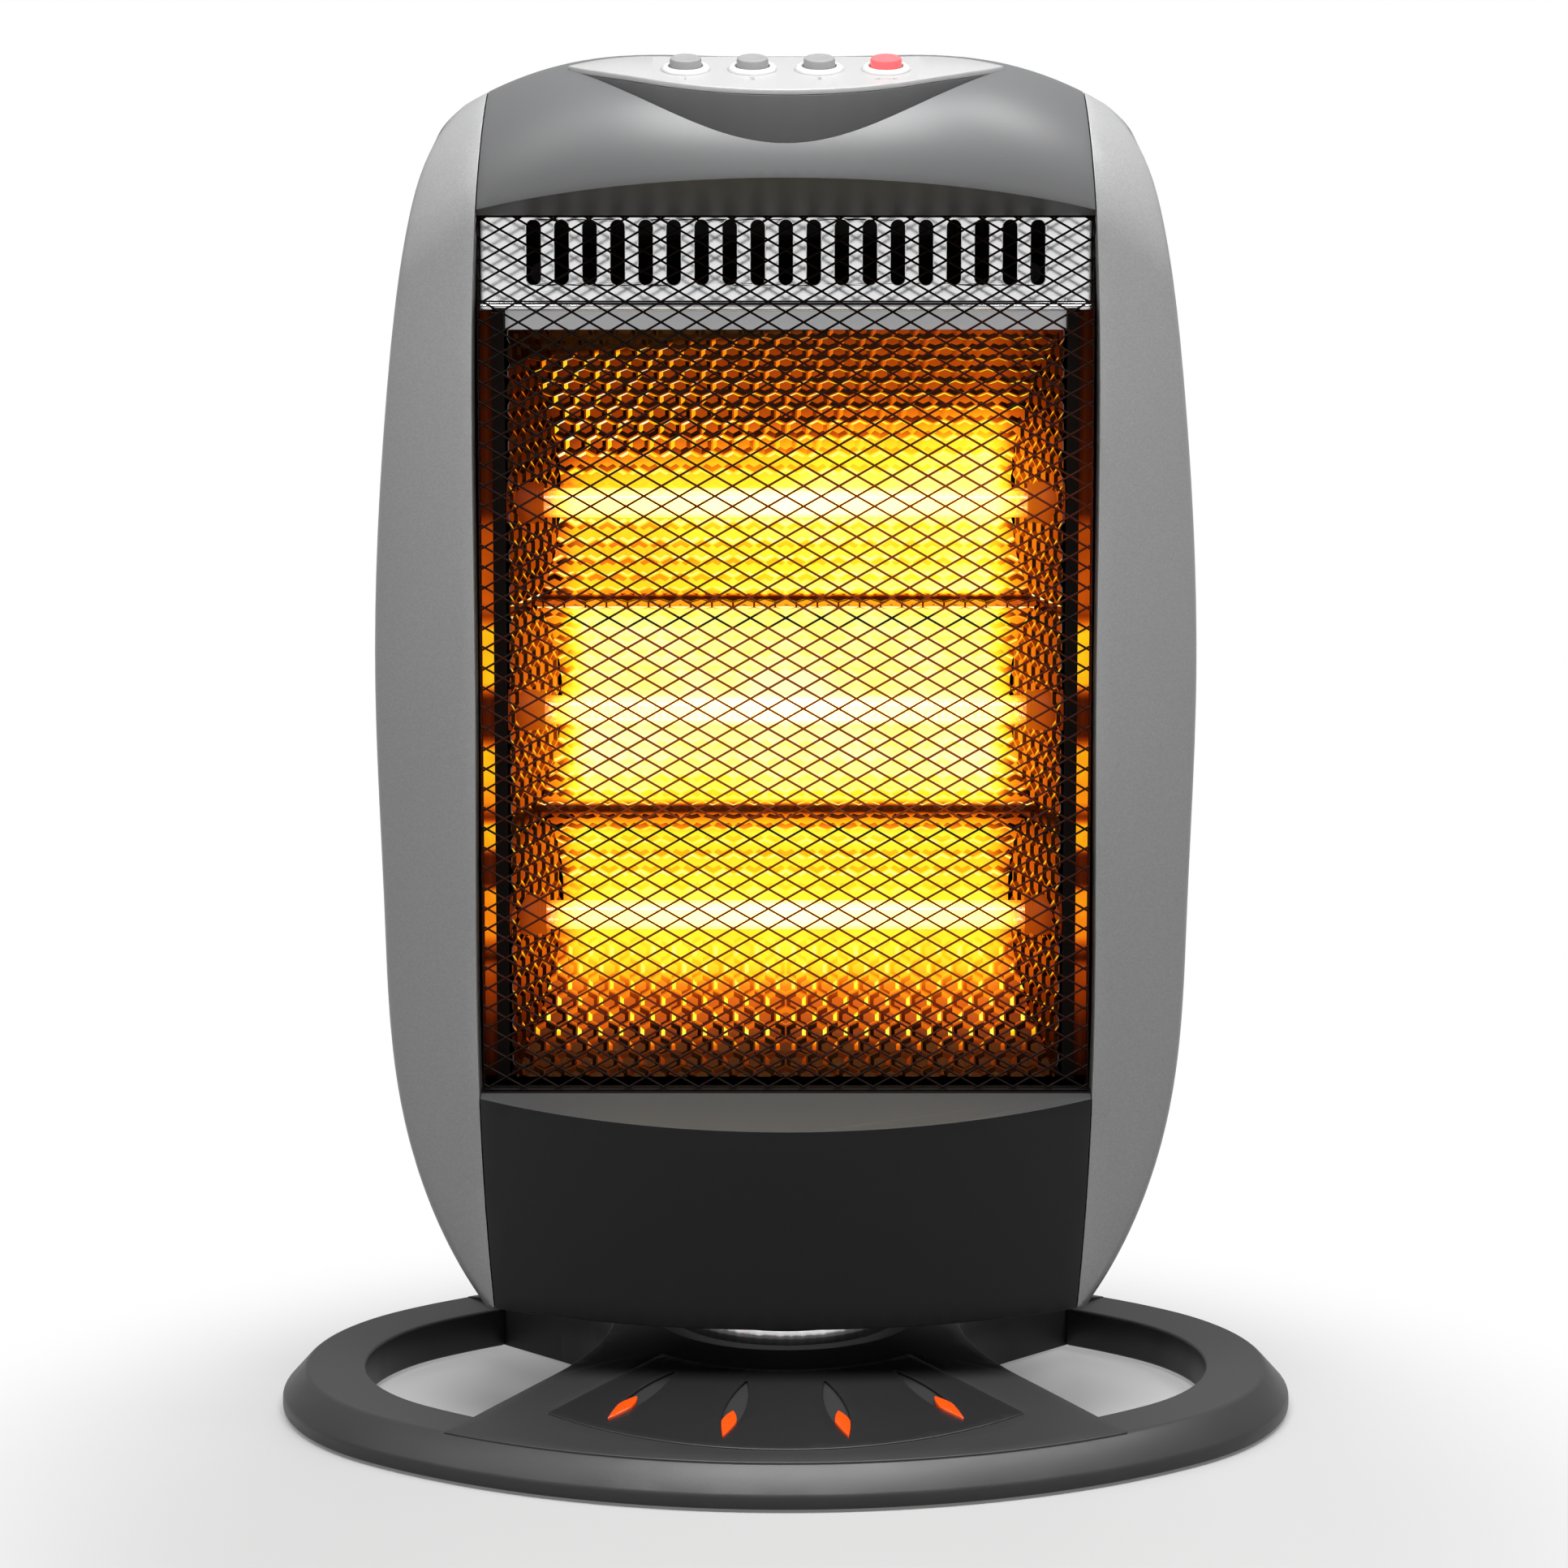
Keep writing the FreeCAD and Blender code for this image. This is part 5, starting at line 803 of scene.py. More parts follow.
class HEATER_OT_reflector(bpy.types.Operator):
    """Press the reflector and its two slanted ends from honeycomb sheet"""

    bl_idname = "heater.reflector"
    bl_label = "Reflector"

    def execute(self, context):
        sizes = context.scene.heater_sizes
        line = reflector_line()
        low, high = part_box("reflector")
        form = honeycomb(sizes, 2 * high.x, line[-1][0])
        bend_to_line(form, line)
        cheek_low, cheek_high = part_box("right_cheek")
        slant = Vector((cheek_high.x - cheek_low.x, cheek_low.y - cheek_high.y, 0.0))
        outwards = Vector((-slant.y, slant.x, 0.0)).normalized()
        pressed = sizes.comb_depth + sizes.comb_sheet
        for side in (1, -1):
            clip(form, (side * (cheek_high.x - pressed / outwards.x), cheek_low.y, 0.0),
                 (side * outwards.x, outwards.y, 0.0))
        light_cells(form, 0)
        thicken(form, sizes.comb_sheet)
        made = piece("reflector_sheet", form, "head", "mirror_sheet", "reflector_heat", "chassis_steel",
                     smooth=PRESSED_SMOOTH)
        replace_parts(made, "reflector")

        height = cheek_high.z - cheek_low.z
        for name, side in (("left_cheek", -1), ("right_cheek", 1)):
            form = honeycomb(sizes, slant.length - pressed, height)
            middle = Vector((side * (cheek_low.x + cheek_high.x) / 2, (cheek_low.y + cheek_high.y) / 2,
                             cheek_low.z))
            across = Vector((slant.x, side * slant.y, 0.0)).normalized()
            upright = Vector((0.0, 0.0, 1.0))
            inwards = across.cross(upright)
            turn = Matrix((across, upright, inwards)).transposed().to_4x4()
            bmesh.ops.transform(form, matrix=Matrix.Translation(middle + inwards * pressed) @ turn,
                                verts=form.verts)
            light_cells(form, -side)
            for tube in TUBES:
                bore(form, tube, sizes.comb_sheet)
            thicken(form, sizes.comb_sheet)
            made = piece(name + "_sheet", form, "head", "mirror_sheet", "cheek_heat", "chassis_steel",
                         smooth=PRESSED_SMOOTH)
            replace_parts(made, name)
        return {"FINISHED"}


class HEATER_OT_strips(bpy.types.Operator):
    """Fold the two bright strips that close the gaps outside the tube carriers"""

    bl_idname = "heater.strips"
    bl_label = "Side strips"

    def execute(self, context):
        sizes = context.scene.heater_sizes
        low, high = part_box("right_carrier")
        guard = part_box("mesh_guard")[1]
        front = low.y + sizes.strip_setback
        fold = sizes.strip_fold
        start = high.x + sizes.comb_sheet
        bend = FOLD_SHARE * fold
        line = ((start, front + sizes.strip_depth), (start, front + fold), (start + bend, front + bend),
                (start + fold, front), (guard.x - fold, front), (guard.x - bend, front + bend),
                (guard.x, front + fold), (guard.x, front + 3 * fold))
        for name, side in (("left_strip", -1), ("right_strip", 1)):
            form = bmesh.new()
            corners = [form.verts.new((side * x, y, low.z)) for x, y in line]
            edges = [form.edges.new(pair) for pair in zip(corners, corners[1:])]
            raised = bmesh.ops.extrude_edge_only(form, edges=edges)["geom"]
            bmesh.ops.translate(form, vec=(0.0, 0.0, high.z - low.z),
                                verts=[item for item in raised if isinstance(item, bmesh.types.BMVert)])
            form.normal_update()
            if sum(face.normal.y for face in form.faces) > 0:
                bmesh.ops.reverse_faces(form, faces=form.faces[:])
            thicken(form, sizes.comb_sheet)
            piece(name, form, "head", "mirror_sheet", "strip_heat", "chassis_steel")
        return {"FINISHED"}


class HEATER_OT_guard(bpy.types.Operator):
    """Stretch the mesh guard over the heat opening, with its sides bent back"""

    bl_idname = "heater.guard"
    bl_label = "Mesh guard"

    def execute(self, context):
        sizes = context.scene.heater_sizes
        low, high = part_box("mesh_guard")
        strand = sizes.guard_strand
        half = high.x - strand / 2
        height = high.z - low.z
        flange = high.y - low.y
        columns = 2 * (half + flange) / sizes.guard_cell_width
        rows = height / sizes.guard_cell_height
        count = 2 * math.ceil((columns + rows) / 2 + 1)
        form = bmesh.new()
        bmesh.ops.create_grid(form, x_segments=count, y_segments=count, size=count / (2 * math.sqrt(2)),
                              matrix=Matrix.Rotation(math.pi / 4, 4, "Z"))
        bmesh.ops.scale(form, verts=form.verts, vec=(sizes.guard_cell_width, sizes.guard_cell_height, 1.0))
        for side in (1, -1):
            clip(form, (side * (half + flange - strand), 0, 0), (side, 0, 0))
            clip(form, (0, side * (height - strand) / 2, 0), (0, side, 0))
        for side in (-half, half):
            clip(form, (side, 0, 0), (1, 0, 0), keep=True)
        bmesh.ops.wireframe(form, faces=form.faces[:], thickness=strand, offset=0.0, use_replace=True,
                            use_boundary=True, use_even_offset=True)
        middle = (low.z + high.z) / 2
        for corner in form.verts:
            x, y, rise = corner.co
            beyond = abs(x) - half
            if beyond > 0:
                corner.co = (math.copysign(half - rise, x), low.y + strand / 2 + beyond, middle + y)
            else:
                corner.co = (x, low.y + strand / 2 - rise, middle + y)
        bmesh.ops.recalc_face_normals(form, faces=form.faces[:])
        made = piece("guard_mesh", form, "head", "guard_wire", "guard_wire", smooth=GUARD_SMOOTH)
        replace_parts(made, "mesh_guard")
        return {"FINISHED"}


def tube_profile(wall, radius, half):
    """Section of a tube with rounded ends, as (radius, place along it)."""
    rounding = wall / 3
    return ((radius - wall, -half + rounding), (radius - wall + rounding, -half), (radius - rounding, -half),
            (radius, -half + rounding), (radius, half - rounding), (radius - rounding, half),
            (radius - wall + rounding, half), (radius - wall, half - rounding))


def cap_profile(sizes, side, radius, half):
    """Section of one ceramic cap with a groove round it, as (radius, place along its tube)."""
    low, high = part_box("tube_caps")
    outer = (high.y - low.y) / 2
    end = high.x
    start = half - sizes.cap_cover
    edge = sizes.cap_edge
    return ((0.0, side * end), (outer - edge, side * end), (outer, side * (end - edge)),
            (outer, side * (start + 5 * edge)), (outer - edge, side * (start + 4 * edge)),
            (outer - edge, side * (start + 3 * edge)), (outer, side * (start + 2 * edge)),
            (outer, side * (start + edge)), (outer - edge, side * start), (radius, side * start),
            (radius, side * half), (0.0, side * half))


def winding(sizes, reach, ring):
    """Coil of wire along X with closed ends."""
    form = bmesh.new()
    bmesh.ops.create_circle(form, segments=WIRE_SIDES, radius=sizes.coil_wire,
                            matrix=Matrix.Translation((-reach, 0.0, ring))
                            @ Matrix.Rotation(math.pi / 2, 4, "X"))
    steps = TURN_STEPS * sizes.coil_turns
    bmesh.ops.spin(form, geom=form.verts[:] + form.edges[:], cent=(0, 0, 0), axis=(1, 0, 0),
                   dvec=(2 * reach / steps, 0, 0), angle=2 * math.pi * sizes.coil_turns, steps=steps)
    ends = [edge for edge in form.edges if edge.is_boundary]
    bmesh.ops.contextual_create(form, geom=ends[:WIRE_SIDES])
    ends = [edge for edge in form.edges if edge.is_boundary]
    bmesh.ops.contextual_create(form, geom=ends)
    bmesh.ops.recalc_face_normals(form, faces=form.faces[:])
    return form


class HEATER_OT_tubes(bpy.types.Operator):
    """Turn the quartz tubes and their ceramic caps, and wind the heating coils"""

    bl_idname = "heater.tubes"
    bl_label = "Heating tubes"

    def execute(self, context):
        sizes = context.scene.heater_sizes
        caps = bmesh.new()
        for name in TUBES:
            low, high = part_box(name + "_tube")
            middle = (low + high) / 2
            radius = (high.z - low.z) / 2
            half = high.x
            place = along_x(0.0, middle.y, middle.z)
            form = bmesh.new()
            turned(form, tube_profile(sizes.tube_wall, radius, half), TUBE_STEPS, place, closed=True)
            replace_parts(piece(name + "_quartz", form, "head", "quartz", "quartz"), name + "_tube")

            coil_low, coil_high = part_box(name + "_coil")
            wire = sizes.coil_wire
            form = winding(sizes, coil_high.x - wire, (coil_high.z - coil_low.z) / 2 - wire)
            bmesh.ops.translate(form, vec=(0.0, middle.y, middle.z), verts=form.verts)
            made = piece(name + "_winding", form, "head", "hot_wire", "hot_wire", smooth=WIRE_SMOOTH)
            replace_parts(made, name + "_coil")

            for side in (1, -1):
                turned(caps, cap_profile(sizes, side, radius, half), CAP_STEPS, place)
        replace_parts(piece("tube_end_caps", caps, "head", "cap_ceramic", "cap_ceramic"), "tube_caps")
        return {"FINISHED"}


class HEATER_OT_buttons(bpy.types.Operator):
    """Turn the four push buttons and the collars round them"""

    bl_idname = "heater.buttons"
    bl_label = "Push buttons"

    def execute(self, context):
        sizes = context.scene.heater_sizes
        stem, depth, skirt = sizes.stem_radius, -sizes.stem_depth, -sizes.skirt_depth
        rise = sizes.button_rise
        bore_radius = sizes.collar_bore
        width = sizes.collar_radius - bore_radius
        collar = ([(bore_radius, -sizes.sign_lift), (sizes.collar_radius, -sizes.sign_lift)]
                  + [(bore_radius + width * out, sizes.collar_rise * up) for out, up in COLLAR_SHARES])
        collars = bmesh.new()
        for name in BUTTONS:
            low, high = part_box(name)
            place = Matrix.Translation(((low.x + high.x) / 2, 0.0, 0.0)) @ PANEL_FRAME
            radius = (high.x - low.x) / 2
            crown = [(radius - sizes.button_round * inset, rise * up) for inset, up in CROWN_SHARES]
            dish = [(sizes.dish_radius * out, rise * up) for out, up in DISH_SHARES]
            form = bmesh.new()
            turned(form, [(0.0, depth), (stem, depth), (stem, skirt), (radius, skirt)] + crown + dish,
                   BUTTON_STEPS, place)
            finish_name = "button_red" if name == "button_swing" else "button_grey"
            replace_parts(piece(name + "_cap", form, name, finish_name, finish_name), name)
            turned(collars, collar, BUTTON_STEPS, place, closed=True)
        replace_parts(piece("collar_rings", collars, "head", "button_grey", "collar_white"), "button_collars")
        return {"FINISHED"}


def number_sign(sizes, number):
    """Flat number in the XY plane, from Blender's own letters."""
    words = bpy.data.curves.new("number", "FONT")
    words.body = number
    words.align_x = "CENTER"
    words.align_y = "CENTER"
    words.size = sizes.sign_height
    words.extrude = sizes.sign_sheet
    holder = bpy.data.objects.new("number", words)
    bpy.context.scene.collection.objects.link(holder)
    bpy.context.view_layer.update()
    ready = bpy.data.meshes.new_from_object(holder.evaluated_get(bpy.context.evaluated_depsgraph_get()))
    form = bmesh.new()
    form.from_mesh(ready)
    bpy.data.objects.remove(holder)
    bpy.data.meshes.remove(ready)
    return form


def arrow_sign(sizes):
    """Flat double arrow in the XY plane."""
    form = bmesh.new()
    bmesh.ops.create_grid(form, x_segments=2, y_segments=1, size=0.5)
    bmesh.ops.scale(form, verts=form.verts, vec=(sizes.arrow_length, sizes.arrow_line, 1.0))
    for side in (-1, 1):
        bmesh.ops.create_circle(form, cap_ends=True, segments=3, radius=sizes.arrow_head,
                                matrix=Matrix.Translation((side * sizes.arrow_reach, 0, 0))
                                @ Matrix.Rotation(-side * math.pi / 2, 4, "Z"))
    bmesh.ops.solidify(form, geom=form.faces[:], thickness=sizes.sign_sheet)
    bmesh.ops.recalc_face_normals(form, faces=form.faces[:])
    return form


class HEATER_OT_signs(bpy.types.Operator):
    """Put plain numbers and a double arrow on the control panel, beside the buttons"""

    bl_idname = "heater.signs"
    bl_label = "Button signs"

    def execute(self, context):
        sizes = context.scene.heater_sizes
        for name in BUTTONS:
            low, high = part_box(name)
            centre = Vector(((low.x + high.x) / 2, 0.0, 0.0))
            spot = (Matrix.Translation(centre) @ PANEL_FRAME
                    @ Matrix.Translation((0.0, -sizes.sign_gap, sizes.sign_lift)))
            form = number_sign(sizes, BUTTON_SIGNS[name]) if name in BUTTON_SIGNS else arrow_sign(sizes)
            bmesh.ops.transform(form, matrix=spot, verts=form.verts)
            piece(name + "_sign", form, "head", "smoke_grey", "sign_grey")
        return {"FINISHED"}


def cross_screw(form, radius, head, reach, frame_matrix):
    """Screw with a domed head and a cross recess, along a frame's Z axis from the head's top downwards."""
    shank = SHANK_SHARE * radius
    part = bmesh.new()
    shaft = [(0.0, -reach), (TIP_SHARE * shank, -reach), (shank, shank - reach), (shank, -head)]
    dome = [(radius * out, -head * down) for out, down in DOME_SHARES]
    turned(part, shaft + [(radius, -head)] + dome, SCREW_STEPS, Matrix())
    rim = [edge for edge in part.edges if edge.is_boundary]
    arm, half = CROSS_ARM_SHARE * radius, CROSS_HALF_SHARE * radius
    quarter = ((arm, -half), (arm, half), (half, half))
    cross = []
    for turn in range(4):
        for x, y in quarter:
            cross.append(part.verts.new(Matrix.Rotation(turn * math.pi / 2, 3, "Z") @ Vector((x, y, 0.0))))
    edges = [part.edges.new(pair) for pair in zip(cross, cross[1:] + cross[:1])]
    sunk = bmesh.ops.extrude_edge_only(part, edges=edges)["geom"]
    bmesh.ops.translate(part, vec=(0.0, 0.0, -CROSS_DEPTH_SHARE * head),
                        verts=[item for item in sunk if isinstance(item, bmesh.types.BMVert)])
    bmesh.ops.contextual_create(part, geom=[item for item in sunk if isinstance(item, bmesh.types.BMEdge)
                                            and item.is_boundary])
    bmesh.ops.bridge_loops(part, edges=rim + edges)
    bmesh.ops.recalc_face_normals(part, faces=part.faces[:])
    bmesh.ops.transform(part, matrix=frame_matrix, verts=part.verts)
    add_form(form, part)


class HEATER_OT_screws(bpy.types.Operator):
    """Give the rear cover's screws their domed heads and cross recesses"""

    bl_idname = "heater.screws"
    bl_label = "Rear screws"

    def execute(self, context):
        sizes = context.scene.heater_sizes
        low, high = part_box("rear_screws")
        solid = NODES["rear_screws"].data
        heads = [corner.co for corner in solid.vertices if corner.co.y > high.y - HEAD_TOP]
        middle = (low + high) / 2
        form = bmesh.new()
        for side in (-1, 1):
            for level in (-1, 1):
                own = [spot for spot in heads
                       if (spot.x - middle.x) * side > 0 and (spot.z - middle.z) * level > 0]
                across = [spot.x for spot in own]
                upright = [spot.z for spot in own]
                place = ((min(across) + max(across)) / 2, high.y, (min(upright) + max(upright)) / 2)
                turn = Matrix.Translation(place) @ Matrix.Rotation(-math.pi / 2, 4, "X")
                cross_screw(form, (max(across) - min(across)) / 2, sizes.screw_head, high.y - low.y, turn)
        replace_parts(piece("rear_screw_set", form, "head", "chassis_steel", "screw_zinc"), "rear_screws")
        return {"FINISHED"}


# Moulded finishes, as colour, specular level, and the grain group's tone, grain, depth and roughness.
MOULDED = {
    "ring_grey": ("ring", 0.5, 0.3, 1500.0, 0.22, 0.42),
    "bridge_black": ("bridge", 0.45, 0.3, 1500.0, 0.22, 0.45),
    "inlay_graphite": ("inlay", 0.45, 0.25, 1900.0, 0.12, 0.36),
    "foot_rubber": ("foot", 0.3, 0.15, 700.0, 0.35, 0.75),
    "smoke_grey": ("smoke", 0.5, 0.14, 1700.0, 0.1, 0.4),
    "pod_grey": ("pod", 0.45, 0.14, 1700.0, 0.1, 0.4),
    "facet_grey": ("facet", 0.4, 0.14, 1700.0, 0.1, 0.4),
    "cover_black": ("black", 0.22, 0.3, 1700.0, 0.1, 0.38),
    "panel_grey": ("panel", 0.5, 0.06, 1400.0, 0.06, 0.32),
    "button_grey": ("button", 0.5, 0.12, 1400.0, 0.08, 0.34),
    "collar_white": ("collar", 0.5, 0.08, 1400.0, 0.05, 0.28),
    "sign_grey": ("sign", 0.5, 0.1, 900.0, 0.05, 0.5),
    "carrier_black": ("carrier", 0.08, 0.15, 800.0, 0.2, 0.5),
    "cap_ceramic": ("ceramic", 0.08, 0.2, 600.0, 0.3, 0.6),
    "drive_nylon": ("nylon", 0.5, 0.08, 900.0, 0.08, 0.4),
    "fitting_black": ("fitting", 0.5, 0.25, 1200.0, 0.15, 0.45),
    "lead_cover": ("lead", 0.5, 0.2, 700.0, 0.1, 0.45),
}
# Metal finishes, as colour, and the drawn group's tone and roughness.
DRAWN = {
    "chassis_steel": ("steel", 0.25, 0.45),
    "screw_zinc": ("zinc", 0.25, 0.32),
    "bright_sheet": ("bright", 0.3, 0.12),
    "bright_rod": ("bright", 0.25, 0.12),
    "satin_strip": ("satin", 0.12, 0.38),
}
# Nodes whose finish isn't their record slot's. The heat shield's black is painted shade behind the vent
# slots.
OWN_FINISH = {
    "reflector": "reflector_heat", "left_cheek": "reflector_heat", "right_cheek": "reflector_heat",
    "control_pod": "pod_grey", "heat_shield": "carrier_black", "swivel_disc": "bright_sheet",
    "trim_strip": "satin_strip", "rear_cover": "fitting_black", "grip_cup": "fitting_black",
}
# A face of the lower cover belongs to its upper facet, which takes a lighter grey as painted light from
# above, if it looks up by more than this.
FACET_RISE = 0.2


def make_finishes(tints):
    """Make every finish, from the surface groups that they share."""
    grain = make_grain_group()
    drawn = make_drawn_group()
    # The group called heat here paints the tubes' glow as reflection on sheets and other pieces.
    heat = make_painted_glow_group()
    for name, (tint, specular, tone, size, depth, roughness) in MOULDED.items():
        finish(name, grain, getattr(tints, tint), specular=specular, Tone=tone, Grain=size, Depth=depth,
               Roughness=roughness)
    for name, (tint, tone, roughness) in DRAWN.items():
        finish(name, drawn, getattr(tints, tint), metallic=1.0, Tone=tone, Roughness=roughness)
    finish("accent_orange", grain, tints.accent, coat=0.25, Tone=0.22, Grain=300.0, Depth=0.04, Roughness=0.2,
           Spread=0.05)
    finish("button_red", grain, tints.swing, coat=0.4, Tone=0.12, Grain=900.0, Depth=0.05, Roughness=0.25)
    finish("silver_lacquer", make_flake_group(), tints.silver, metallic=0.05, specular=0.3, coat=0.3,
           coat_roughness=0.28, Flake=0.3, Roughness=0.42)
    finish("guard_wire", drawn, tints.guard, specular=0.06, Roughness=0.55)
    # Painted glow from the reflector on the guard's strands and on the tube caps.
    add_painted_glow("guard_wire", heat, 0.4, 0.35)
    add_painted_glow("cap_ceramic", heat, 0.85, 0.75)
    glow_painted_sheet("reflector_heat", heat, tints.mirror, 0.35)
    glow_painted_sheet("cheek_heat", heat, tints.mirror, 0.4)
    make_strip_painted_glow(tints.mirror)
    make_quartz()
    make_hot_wire()


class HEATER_OT_finishes(bpy.types.Operator):
    """Make the finishes and give each CAD node its own"""

    bl_idname = "heater.finishes"
    bl_label = "Finishes"

    def execute(self, context):
        make_finishes(context.scene.heater_colours)
        for entry in RECORD["subparts"]:
            data = NODES[entry["node"]].data
            data.materials.clear()
            data.materials.append(LOOKS[OWN_FINISH.get(entry["node"], entry["material_slot"])])
        # The lower cover's upward faces get a lighter grey: painted light from above.
        cover = NODES["bottom_cover"].data
        cover.materials.append(LOOKS["facet_grey"])
        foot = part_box("bottom_cover")[1].z - context.scene.heater_sizes.facet_height
        for face in cover.polygons:
            if face.normal.z > FACET_RISE and face.normal.y < 0 and face.center.z > foot:
                face.material_index = 1
        return {"FINISHED"}


class HEATER_OT_edges(bpy.types.Operator):
    """Ease the sharp edges of the mouldings and sheets that are seen from outside"""

    bl_idname = "heater.edges"
    bl_label = "Eased edges"

    def execute(self, context):
        sizes = context.scene.heater_sizes
        for name in EASED:
            join = NODES[name].modifiers.new("join", "WELD")
            join.merge_threshold = WELD
            ease = NODES[name].modifiers.new("ease", "BEVEL")
            ease.width = sizes.ring_ease if name == "base_ring" else sizes.edge_ease
            ease.segments = EASE_SEGMENTS
            ease.limit_method = "ANGLE"
            ease.angle_limit = EASE_ANGLE
            ease.harden_normals = True
        return {"FINISHED"}


# Studio, in metres and watts

# Soft lights, as place, aim, width, height, power, and whether reflections show them.
SOFTBOXES = {
    "overhead_box": ((0.0, -0.4, 1.1), (0.0, 0.0, 0.25), 0.8, 0.5, 16.0, True),
    "left_box": ((-1.0, -0.3, 1.2), (0.0, 0.0, 0.35), 0.5, 0.7, 3.0, True),
    "right_box": ((0.75, -0.1, 1.25), (0.12, 0.0, 0.42), 0.4, 0.5, 6.0, True),
    "rear_box": ((0.3, 1.5, 1.2), (0.0, 0.0, 0.25), 0.8, 0.6, 9.0, False),
}
CAMERA_PLACE = (-0.0006, -2.3147, 0.6787)
CAMERA_DIP = math.radians(11.206)
CAMERA_LENS = 158.2
CAMERA_SENSOR = 36.0
WHITE = (1.0, 1.0, 1.0, 1.0)
# The surroundings' strength where they light the heater, and where it mirrors them.
AMBIENT = 0.1
MIRRORED_AMBIENT = 0.4
# The floor: its radius, its tones, its share in mirrors and in lighting the heater, and its own brightness.
FLOOR_RADIUS = 6.0
FLOOR_SIDES = 96
FLOOR_TONES = ((0.0, 0.39), (1.0, 0.41))
FLOOR_MIRRORED = 0.85
FLOOR_LIT = 0.15
FLOOR_GLOW = 0.15
# The floor fades to white round an oval: the oval's scale and shift, and where the fade starts and ends.
FADE_SCALE = (1.3, 1.15, 0.0)
FADE_SHIFT = (0.0, 0.18, 0.0)
FADE_START = 0.22
FADE_END = 0.46


def softbox(name, place, aim, width, height, power, mirrored):
    lamp = bpy.data.lights.new(name, "AREA")
    lamp.shape = "RECTANGLE"
    lamp.size = width
    lamp.size_y = height
    lamp.energy = power
    made = bpy.data.objects.new(name, lamp)
    made.location = place
    made.rotation_euler = (Vector(aim) - Vector(place)).to_track_quat("-Z", "Y").to_euler()
    made.visible_glossy = mirrored
    bpy.context.scene.collection.objects.link(made)


def seen_rays(tree):
    """1 for camera and transmission rays, 0 for the rays that light the object."""
    path = node(tree, "ShaderNodeLightPath")
    return math_node(tree, "MAXIMUM", path.outputs["Is Camera Ray"], path.outputs["Is Transmission Ray"])


def glossy_share(tree, share):
    """A share for the rays of a reflection, 0 for others."""
    return times(tree, node(tree, "ShaderNodeLightPath").outputs["Is Glossy Ray"], share)


def mix_shaders(tree, factor, first, second, end):
    """Mix two shaders and link the mix to an output node's surface."""
    mix = node(tree, "ShaderNodeMixShader")
    tree.links.new(factor, mix.inputs["Fac"])
    tree.links.new(first.outputs[0], mix.inputs[1])
    tree.links.new(second.outputs[0], mix.inputs[2])
    tree.links.new(mix.outputs[0], tree.nodes[end].inputs["Surface"])


def make_surroundings():
    """World that is white where it is seen, and dimmer where it lights the heater or is mirrored in it."""
    world = bpy.data.worlds.new("studio")
    world.use_nodes = True
    tree = world.node_tree
    ambient = tree.nodes["Background"]
    fix(ambient, {"Color": WHITE})
    strength = math_node(tree, "MAXIMUM", glossy_share(tree, MIRRORED_AMBIENT), AMBIENT)
    tree.links.new(strength, ambient.inputs["Strength"])
    white = node(tree, "ShaderNodeBackground")
    fix(white, {"Color": WHITE})
    mix_shaders(tree, seen_rays(tree), ambient, white, "World Output")
    return world


def make_floor_paint():
    """Pale matt paint that fades to white round the heater."""
    tree, shader = new_look("floor_paint")
    fix(shader, {"Roughness": 0.9, "Specular IOR Level": 0.1, "Emission Color": WHITE})
    pale = ramp(tree, noise(tree, 3.0, 2.0), FLOOR_TONES)
    seen = math_node(tree, "MAXIMUM", seen_rays(tree), glossy_share(tree, FLOOR_MIRRORED))
    tree.links.new(times(tree, seen, FLOOR_GLOW), shader.inputs["Emission Strength"])
    lit = math_node(tree, "MAXIMUM", seen, FLOOR_LIT)
    tree.links.new(scaled_colour(tree, pale, lit), shader.inputs["Base Color"])
    place = node(tree, "ShaderNodeMapping")
    fix(place, {"Scale": FADE_SCALE, "Location": FADE_SHIFT})
    tree.links.new(node(tree, "ShaderNodeTexCoord").outputs["Object"], place.inputs["Vector"])
    away = node(tree, "ShaderNodeVectorMath", operation="LENGTH")
    tree.links.new(place.outputs["Vector"], away.inputs[0])
    fade = map_range(tree, away.outputs["Value"], FADE_START, FADE_END, kind="SMOOTHSTEP")
    mix_shaders(tree, times(tree, fade, seen), shader, node(tree, "ShaderNodeEmission"), "Material Output")


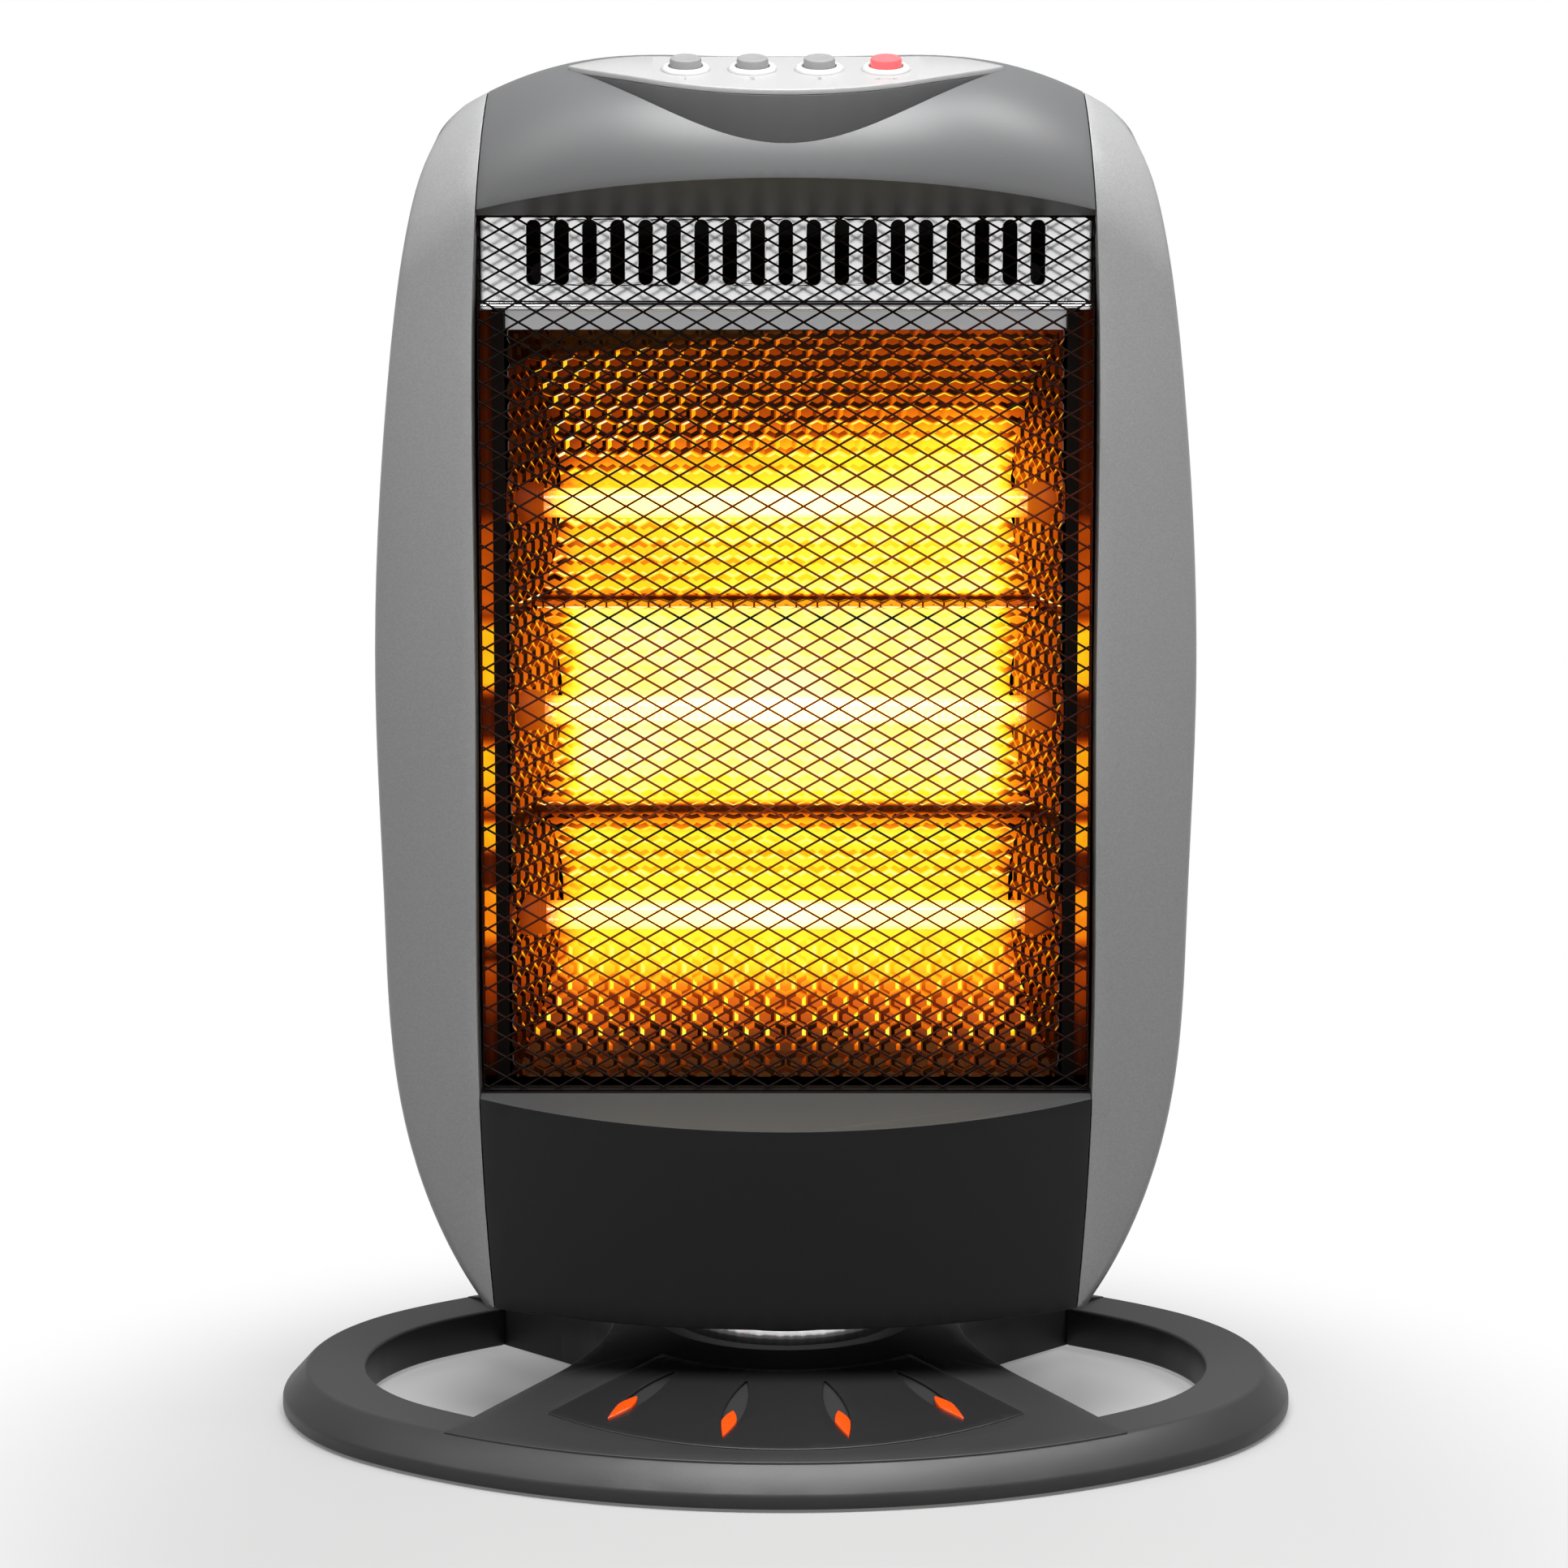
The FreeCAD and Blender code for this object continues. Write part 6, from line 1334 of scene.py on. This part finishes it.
class HEATER_OT_stage(bpy.types.Operator):
    """Set the pale floor, the soft lights, the white surroundings and the camera"""

    bl_idname = "heater.stage"
    bl_label = "Studio"

    def execute(self, context):
        scene = context.scene
        scene.view_settings.view_transform = "Standard"
        scene.world = make_surroundings()

        form = bmesh.new()
        bmesh.ops.create_circle(form, cap_ends=True, segments=FLOOR_SIDES, radius=FLOOR_RADIUS)
        mesh = bpy.data.meshes.new("floor")
        form.to_mesh(mesh)
        form.free()
        floor = bpy.data.objects.new("floor", mesh)
        scene.collection.objects.link(floor)
        make_floor_paint()
        mesh.materials.append(LOOKS["floor_paint"])

        for name, values in SOFTBOXES.items():
            softbox(name, *values)

        lens = bpy.data.cameras.new("camera")
        lens.lens = CAMERA_LENS
        lens.sensor_width = CAMERA_SENSOR
        camera = bpy.data.objects.new("camera", lens)
        camera.location = CAMERA_PLACE
        camera.rotation_euler = (math.pi / 2 - CAMERA_DIP, 0.0, 0.0)
        scene.collection.objects.link(camera)
        scene.camera = camera
        return {"FINISHED"}


class HEATER_PT_tools(bpy.types.Panel):
    """List the heater's tools in the sidebar"""

    bl_idname = "HEATER_PT_tools"
    bl_label = "Quartz Heater"
    bl_space_type = "VIEW_3D"
    bl_region_type = "UI"
    bl_category = "Heater"

    def draw(self, context):
        for tool in OPERATORS:
            self.layout.operator(tool.bl_idname)
        for settings in (context.scene.heater_sizes, context.scene.heater_colours):
            box = self.layout.box()
            for name in settings.bl_rna.properties.keys():
                if name not in {"rna_type", "name"}:
                    box.prop(settings, name)


OPERATORS = (HEATER_OT_finishes, HEATER_OT_reflector, HEATER_OT_strips, HEATER_OT_guard, HEATER_OT_tubes,
             HEATER_OT_buttons, HEATER_OT_signs, HEATER_OT_screws, HEATER_OT_edges, HEATER_OT_stage)
CLASSES = (HeaterSizes, HeaterColours) + OPERATORS + (HEATER_PT_tools,)


def register():
    for item in CLASSES:
        bpy.utils.register_class(item)
    bpy.types.Scene.heater_sizes = PointerProperty(type=HeaterSizes)
    bpy.types.Scene.heater_colours = PointerProperty(type=HeaterColours)


def unregister():
    del bpy.types.Scene.heater_colours
    del bpy.types.Scene.heater_sizes
    for item in reversed(CLASSES):
        bpy.utils.unregister_class(item)


def main():
    register()
    bpy.ops.heater.finishes()
    bpy.ops.heater.reflector()
    bpy.ops.heater.strips()
    bpy.ops.heater.guard()
    bpy.ops.heater.tubes()
    bpy.ops.heater.buttons()
    bpy.ops.heater.signs()
    bpy.ops.heater.screws()
    bpy.ops.heater.edges()
    bpy.ops.heater.stage()


if __name__ == "__main__":
    main()
